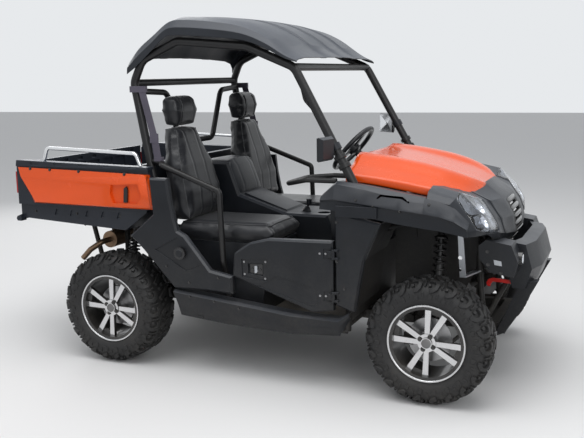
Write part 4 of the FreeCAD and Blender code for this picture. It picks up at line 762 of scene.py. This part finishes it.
def pad(name, node, cap, fill, seam, facing, depth):
    """Both seats' cushions of one kind: the left solid swelled by air pressure, its seams drawn in, and its
    mirror image."""
    bm = solid_copy(node)
    bmesh.ops.delete(bm, geom=[vert for vert in bm.verts if vert.co.y < 0], context="VERTS")
    low, high = (Vector([pick(vert.co[i] for vert in bm.verts) for i in range(3)]) for pick in (min, max))
    for face in bm.faces:
        face.normal_update()
    for vert in bm.verts:
        vert.co -= vert.normal * PAD_SHRINK * MM
    mesh = bpy.data.meshes.new(name)
    bm.to_mesh(mesh)
    bm.free()
    maker = link(name + "_maker", mesh)
    remesh = maker.modifiers.new("remesh", "REMESH")
    remesh.mode = "VOXEL"
    remesh.voxel_size = PAD_VOXEL * MM
    swelled = baked(maker)
    maker.modifiers.clear()
    maker.data = swelled
    before = [vert.co.copy() for vert in swelled.vertices]
    cloth = maker.modifiers.new("cloth", "CLOTH")
    cloth.settings.use_pressure = True
    cloth.settings.uniform_pressure_force = PAD_PRESSURE
    cloth.settings.effector_weights.gravity = 0
    for moment in range(1, PAD_FRAMES + 1):
        bpy.context.scene.frame_set(moment)
    swelled = baked(maker)
    bpy.context.scene.frame_set(1)
    bpy.data.objects.remove(maker)
    bm = bmesh.new()
    bm.from_mesh(swelled)
    for vert, start in zip(bm.verts, before):
        step = vert.co - start
        if step.length > cap * MM:
            vert.co = start + step.normalized() * cap * MM
    for _ in range(PAD_PASSES):
        bmesh.ops.smooth_vert(bm, verts=bm.verts, factor=0.5, use_axis_x=True, use_axis_y=True, use_axis_z=True)
    bm.normal_update()
    for vert in bm.verts:
        away = abs(abs(vert.co.y / MM - SEAT_Y) - seam)
        if away < SEAM_HALF and vert.normal[facing] > 0.35:
            vert.co -= vert.normal * depth * MM * (1 - (away / SEAM_HALF) ** 2)
        for i, room in enumerate((-PAD_ROOM, -PAD_ROOM, 0.2)):
            vert.co[i] = min(max(vert.co[i], low[i] + room * MM), high[i] + PAD_ROOM * MM)
    right = bm.copy()
    for vert in right.verts:
        vert.co.y = -vert.co.y
    bmesh.ops.reverse_faces(right, faces=right.faces)
    extra = bpy.data.meshes.new(name + "_right")
    right.to_mesh(extra)
    right.free()
    bm.from_mesh(extra)
    bpy.data.meshes.remove(extra)
    piece = shaped(name, bm, 180, False, "black_vinyl")
    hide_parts(node)
    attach(piece, "chassis")
    return piece


def piping(name, cushion, courses):
    """Welts sewn along a pad's edges: each course is laid onto the pad's own surface, on both seats."""
    surface = surface_of(cushion.data)
    bm = bmesh.new()
    for course in courses:
        for side in (1, -1):
            line = smooth_line([Vector((x, side * (SEAT_Y + y), z)) for x, y, z in course], 5)
            hits = [surface.find_nearest(point * MM) for point in line]
            bar(bm, [spot / MM + normal * 1.5 for spot, normal, _, _ in hits], 3.2, 8)
    # the welts take the lighter vinyl, a painted highlight along them
    add(name, bm, "chassis", "seat_vinyl", "welt_vinyl", sharp=60)


# the seat backs' front edge: z, x, half width; the cushions' upper edge: x, z, half width; the headrests'
# front edge: x, half width, z
BACK_EDGE = ((850, -354, 198), (925, -360, 206), (1000, -370, 208), (1075, -386, 203), (1150, -408, 190),
             (1225, -432, 165), (1300, -456, 132), (1345, -474, 112))
CUSHION_EDGE = ((-420, 832, 172), (-280, 835, 172), (-120, 835, 170), (20, 834, 166), (90, 832, 158))
REST_EDGE = ((-454, 62, 1520), (-440, 66, 1470), (-440, 66, 1410), (-458, 62, 1362))


def seats():
    cushion, back, rest = [pad(*row) for row in PADS]
    piping("back_welts", back, [[(x, s * half, z) for z, x, half in BACK_EDGE] for s in (1, -1)])
    front = [(112, y, 828) for y in (158, 80, 0, -80, -158)]
    piping("cushion_welts", cushion, [[(x, half, z) for x, z, half in CUSHION_EDGE] + front
                                      + [(x, -half, z) for x, z, half in CUSHION_EDGE[::-1]]])
    piping("headrest_welts", rest, [[(x, s * half, z) for x, half, z in REST_EDGE] for s in (1, -1)])


# Shocks and steering wheel

# axle x of each pair of shocks, then y and z of their heads; y and z of their feet
SHOCKS = ((1020, (375, 838)), (-840, (395, 738)))
SHOCK_FOOT = (475, 462)
SHOCK_X = -10  # from the axle
SPRING_TURNS, SPRING_STEPS, SPRING_RADIUS, SPRING_WIRE = 7.5, 26, 30, 5


def shocks():
    """Dampers with open coil springs."""
    bm = bmesh.new()
    for axle_x, top in SHOCKS:
        for side in (1, -1):
            foot, head = (Vector((axle_x + SHOCK_X, side * y, z)) for y, z in (SHOCK_FOOT, top))
            along = (head - foot).normalized()
            length = (head - foot).length
            turned(bm, foot, along, [(10, 15), (14, 20), (58, 20), (58, 35), (64, 36), (72, 36), (72, 22),
                                     (length * 0.55, 22), (length * 0.55 + 4, 14), (length - 60, 14),
                                     (length - 60, 34), (length - 54, 36), (length - 46, 30), (length - 40, 18),
                                     (length - 12, 15)], 28)
            for end in (foot, head):
                turned(bm, end - Vector((19, 0, 0)), (1, 0, 0), [(0, 14), (3, 17), (35, 17), (38, 14)], 24)
            across = Vector((1, 0, 0))
            over = along.cross(across)
            steps = SPRING_TURNS * SPRING_STEPS
            spring = []
            for i in range(int(steps) + 1):
                a = 2 * pi * SPRING_TURNS * i / steps
                spring.append(foot + along * (77 + (length - 60 - 82) * i / steps)
                              + (across * cos(a) + over * sin(a)) * SPRING_RADIUS)
            bar(bm, spring, SPRING_WIRE, 8)
    add("coil_shocks", bm, "chassis", "black_steel", "black_powder", sharp=30, stands_for=("shocks",))


WHEEL_CENTRE = Vector((256, 402, 1168))
COLUMN = Vector((304, 0, -268)).normalized()
GRIP_REACH, GRIP_RADIUS, GRIP_WAIST = 165, 15, 1.2
# along a spoke of the steering wheel: distance from the middle, half width, half thickness, how far sunk
WHEEL_SPOKE = ((34, 22, 7, 0), (90, 14, 5, 3), (130, 14, 5, 3), (158, 20, 6, 0))


def steering_wheel():
    """Round grip, three flat spokes, the hub's pad and the shaft."""
    bm = bmesh.new()
    rings = []
    for i, a in enumerate(angles(96)):
        grip = GRIP_RADIUS - (GRIP_WAIST if i % 32 in (5, 11) else 0)
        rings.append(section_ring(bm, [(grip * sin(b), GRIP_REACH + grip * cos(b)) for b in angles(16)], a))
    looped_rings(bm, rings)
    turned(bm, (0, -14, 0), (0, 1, 0), [(0, 30), (4, 38), (10, 42), (38, 40), (44, 26), (44, 11), (234, 11)], 40)
    for a in map(radians, (90, 210, 330)):
        out = Vector((cos(a), 0, -sin(a)))
        wide = Vector((out.z, 0, -out.x))
        capped_rings(bm, [[bm.verts.new((out * reach + wide * s * half + Vector((0, sink + t * thick, 0))) * MM)
                           for s, t in ((-1, -1), (1, -1), (1, 1), (-1, 1))]
                          for reach, half, thick, sink in WHEEL_SPOKE])
    turn = Vector((0, 1, 0)).rotation_difference(COLUMN).to_matrix()
    for vert in bm.verts:
        vert.co = turn @ vert.co + WHEEL_CENTRE * MM
    add("steering_grip", bm, "steering_wheel", "black_plastic", "black_vinyl", bevel=1.5,
        stands_for=("steering_wheel",))


# Small pieces that sit on the solids

SURFACES = {}
BESIDE = 900.0  # y outside every solid
CAP_X, CAP_Z = -349.0, 680.0  # middle of the fuel cap on the right quarter panel
CAP_RIB = 32.0
LEVER_AT = (120.0, -50.0)
SPLASH_Y, SPLASH_WALL = 300.0, 2.5
SPLASH = [(740, 500), (740, 905), (800, 940), (1140, 930), (1176, 860), (1176, 610), (1120, 500)]
# ends of the left pillar's middle line; where its clamps start, by its length
PILLAR = (Vector((640.0, 612.0, 1030.0)), Vector((285.0, 588.0, 1668.0)))
PILLAR_CLAMPS = (0.20, 0.27)
# node, head radius, then (x, z) of each screw on its outer side; all are black but for the stays'
SIDE_SCREWS = (
    ("fenders", 5.5, ((1027, 1008), (664, 1016), (755, 990), (890, 972))),
    ("cowl_panels", 5.5, ((560, 900), (600, 560), (560, 700))),
    ("quarter_panels", 5.5, ((-120, 560), (-300, 520), (-440, 600))),
    ("sills", 5.5, ((-300, 440), (-150, 425), (0, 400))),
    ("bed_panels", 6.5, ((-1370, 1112), (-1227, 1110), (-1022, 1105), (-710, 1098))),
    ("bed_tub", 6.0, ((-1380, 852), (-1080, 852), (-780, 852))),
    ("bumper", 6.0, ((1260, 745), (1265, 680), (1330, 640))),
    ("fender_stays", 7.0, ((1122, 700), (1122, 640))),
)
DOOR_SCREWS = ((38, 660), (163, 668), (40, 594), (160, 578), (470, 735), (470, 515), (500, 735), (500, 515))


def solid_under(node, place, towards):
    """Where a line from a place meets a node's solid, in mm, and the way out of it there."""
    if node not in SURFACES:
        SURFACES[node] = surface_of(nodes[node].data)
    spot, normal, _, _ = SURFACES[node].ray_cast(Vector(place) * MM, Vector(towards))
    return spot / MM, normal


def from_side(node, side, x, z):
    """The same for a line straight in from one side."""
    return solid_under(node, (x, side * BESIDE, z), (0, -side, 0))


def side_screws():
    for node, radius, spots in SIDE_SCREWS:
        material = "chrome" if node == "fender_stays" else "black_gloss"
        places = [from_side(node, side, x, z) for x, z in spots for side in (1, -1)]
        screws(node + "_screws", BODY_OF[node], material, radius, places)


def door_latch(side):
    """Plate, lever and screws in the well of a door."""
    node = "door_right" if side < 0 else "door_left"
    well = side * from_side(node, side, 104, 622)[0].y
    top = side * (well + 2)
    bm = bmesh.new()
    plate(bm, [(68, 648), (142, 652), (141, 594), (69, 601)], side * well, top)
    plate(bm, [(98, 641), (112, 643), (114, 612), (108, 603), (98, 603)], top, side * (well + 12), 1)
    for x, radius in ((82, 9), (128, 7)):
        turned(bm, (x, top, 622), (0, side, 0), [(0, radius), (3, radius), (4, radius - 2)], 20)
    add(node + "_latch", bm, BODY_OF[node], "brake_steel", "black_gloss", "silver_paint", bevel=1)
    places = [(from_side(node, side, x, z)[0], (0, side, 0)) for x, z in DOOR_SCREWS]
    screws(node + "_screws", BODY_OF[node], "turned_steel", 4, places)


# node, its material and edges, the second material and its faces by their middle p and normal n: the bed's
# catches, the mirrors' glass, the fuel cap and the buckles' heads
TWO_TONE = (
    ("bed_panels", "orange_gloss", 1.5, "black_gloss",
     lambda p, n: -724 < p.x < -690 and 938 < p.z < 1032 and abs(p.y) > 692),
    ("mirrors", "charcoal_plastic", 3, "mirror_bowl",
     lambda p, n: n.x < -0.5 and 1205 < p.z < 1368 and abs(p.y) > 600),
    ("quarter_panels", "charcoal_plastic", 2.5, "black_gloss",
     lambda p, n: hypot(p.x - CAP_X, p.z - CAP_Z) < 37 and abs(p.y) > 726),
    ("seat_belts", "webbing", 0.8, "red_plastic",
     lambda p, n: -442 < p.x < -390 and abs(p.y) < 200 and p.z > 900),
)
GRILLE_Z, VANES, VANE_HALF = (722.0, 962.0), 6, 120.0
VANE_BOW, VANE_DEPTH, VANE_RISE = 4, 6, 13


def grille_vanes():
    """Rounded glossy vanes over the bars of the grille, bowed a little forwards."""
    bm = bmesh.new()
    pitch = (GRILLE_Z[1] - GRILLE_Z[0]) / VANES
    for i in range(VANES):
        spot, out = solid_under("grille", (1600, 100, GRILLE_Z[0] + pitch * (i + 0.78)), (-1, 0, 0))
        tilt = Vector((out.x, 0, out.z)).normalized()
        rise = Vector((-tilt.z, 0, tilt.x))
        rows = []
        for share in (j / 8 - 1 for j in range(17)):
            swell = sqrt(max(1 - share ** 4, 0.06))
            middle = Vector((spot.x, VANE_HALF * share, spot.z)) + tilt * (VANE_BOW * (1 - share ** 2))
            rows.append([bm.verts.new((middle + tilt * cos(a) * VANE_DEPTH * swell
                                       + rise * sin(a) * VANE_RISE * swell) * MM) for a in angles(16)])
        capped_rings(bm, rows)
    add("grille_vanes", bm, "chassis", "black_plastic", "black_gloss", sharp=50)


def bumper_plates():
    """Small bare plates on the bumper, below the round lamps."""
    bm = bmesh.new()
    for side in (1, -1):
        face = side * from_side("bumper", side, 1314, 690)[0].y
        plate(bm, [(1292, 706), (1330, 700), (1334, 676), (1297, 680)], side * (face - 1), side * (face + 3))
    add("bumper_plates", bm, "chassis", "brake_steel", "silver_paint", bevel=1)


def fuel_cap_ribs():
    """Grip ribs round the fuel cap and the raised disc in its middle."""
    bm = bmesh.new()
    face = from_side("quarter_panels", -1, CAP_X, CAP_Z)[0].y
    for a in angles(18):
        foot = Vector((CAP_X, face + 1, CAP_Z)) + Vector((cos(a), 0, sin(a))) * CAP_RIB
        bar(bm, [foot, foot + Vector((0, -3.5, 0))], [2.4, 1.8], 8)
    turned(bm, (CAP_X, face + 0.5, CAP_Z), (0, -1, 0), [(0, CAP_RIB - 10), (4, CAP_RIB - 12), (5, 6)], 28)
    add("fuel_cap_grip", bm, BODY_OF["quarter_panels"], "black_plastic", "charcoal_plastic", sharp=40)


COVER_HALF, COVER_BOW, COVER_STEPS = 150.0, 24.0, 32
# the console cover's section: x, z, then how much of the bow moves it ahead and up
COVER = ((-525, 1100, 0, 0), (-515, 1117, 0, 0.5), (-430, 1119, 0, 1), (-355, 1117, 0.4, 0.9),
         (-334, 1088, 0.9, 0.4), (-312, 1030, 1, 0.3), (-290, 970, 1, 0.25), (-276, 938, 0.5, 0),
         (-300, 940, 0, 0), (-360, 1090, 0, 0))


def console_cover():
    """Bowed cover on the tall rear part of the console, with two seams drawn into it."""
    bm = bmesh.new()
    rows = []
    for share in (-1 + 2 * i / COVER_STEPS for i in range(COVER_STEPS + 1)):
        swell = COVER_BOW * sqrt(max(1 - share ** 2, 0)) ** 0.8
        swell -= 2.5 * max(0, 1 - abs(abs(share) - 0.55) * 16)
        rows.append([bm.verts.new(Vector((x + swell * ahead, COVER_HALF * share, z + swell * up)) * MM)
                     for x, z, ahead, up in COVER])
    capped_rings(bm, rows)
    add("console_cover", bm, "chassis", "black_plastic", "charcoal_plastic", bevel=4, sharp=60)


def pillar_clamps():
    """Two clamps round each pillar at the steering wheel's height, each with a screw."""
    bm = bmesh.new()
    places = []
    for side in (1, -1):
        start, end = (Vector((p.x, side * p.y, p.z)) for p in PILLAR)
        along = (end - start).normalized()
        back = along.cross(Vector((0, 1, 0))).normalized()
        back = -back if back.x > 0 else back
        for share in PILLAR_CLAMPS:
            foot = start.lerp(end, share)
            turned(bm, foot, along, [(0, 24), (0, 30), (2, 32), (22, 32), (24, 30), (24, 24)], 40,
                   join=looped_rings)
            places.append((foot + along * 12 + back * 31, back))
    add("pillar_clamps", bm, "chassis", "black_steel", "black_powder", sharp=40)
    screws("clamp_screws", "chassis", "turned_steel", 4.5, places)


def splash_sheets():
    """Dark sheets on the inner sides of the front wheel wells, behind the shocks."""
    bm = bmesh.new()
    for side in (1, -1):
        plate(bm, SPLASH, side * SPLASH_Y, side * (SPLASH_Y - SPLASH_WALL))
    add("splash_sheets", bm, "chassis", "black_plastic", "chassis_black")


def shifter_boot():
    """Folds of the boot round the gear lever."""
    bm = bmesh.new()
    spot, _ = solid_under("console", (LEVER_AT[0] + 46, LEVER_AT[1], 1100), (0, 0, -1))
    profile = [(high + i * 7, wide - i * 4.5) for i in range(5) for high, wide in ((1, 33), (4, 27))]
    turned(bm, (*LEVER_AT, spot.z), (0.18, 0, 1), profile, 28)
    add("lever_boot", bm, "chassis", "black_plastic", "black_vinyl", sharp=60)


# material, then the width of the rounded edges in mm with the nodes that have them
DRESSED = {
    "bed_plastic": {2.5: "bed_caps bed_tub", 2: "tailgate"},
    "charcoal_plastic": {6: "bumper", 5: "console", 3: "dash fenders seat_bases", 2.5: "fascia",
                         2: "door_left door_right", 1.5: "cowl_panels sills"},
    "grey_alloy": {3: "engine", 2: "gearcases"},
    "chassis_black": {1: "grille radiator", 0: "floor frame front_arms half_shafts knuckle_left knuckle_right "
                                               "rear_arms rear_knuckles steering_column wheel_liners"},
    "black_powder": {0: "grab_bars roll_cage"}, "chrome": {0: "bed_rails"}, "hot_steel": {0: "muffler"},
    "turned_steel": {0: "steering_rack"}, "red_lens": {2: "tail_lamps"}, "red_plastic": {1.5: "tow_hook"},
    "silver_paint": {1: "fender_stays"},
}


def main():
    camera()
    studio()
    make_materials()
    for material, edges in DRESSED.items():
        for bevel, members in edges.items():
            for node in members.split():
                dress(node, material, bevel)
    for node, material, bevel, second, rule in TWO_TONE:
        dress(node, material, bevel, second=[second], rule=rule)
    for row in WHEELS:
        wheel(*row)
    for make in (hood, roof, headlamps, seats, shocks, steering_wheel, side_screws):
        make()
    for side in (1, -1):
        door_latch(side)
    for make in (grille_vanes, bumper_plates, fuel_cap_ribs, shifter_boot, splash_sheets, console_cover,
                 pillar_clamps):
        make()


main()
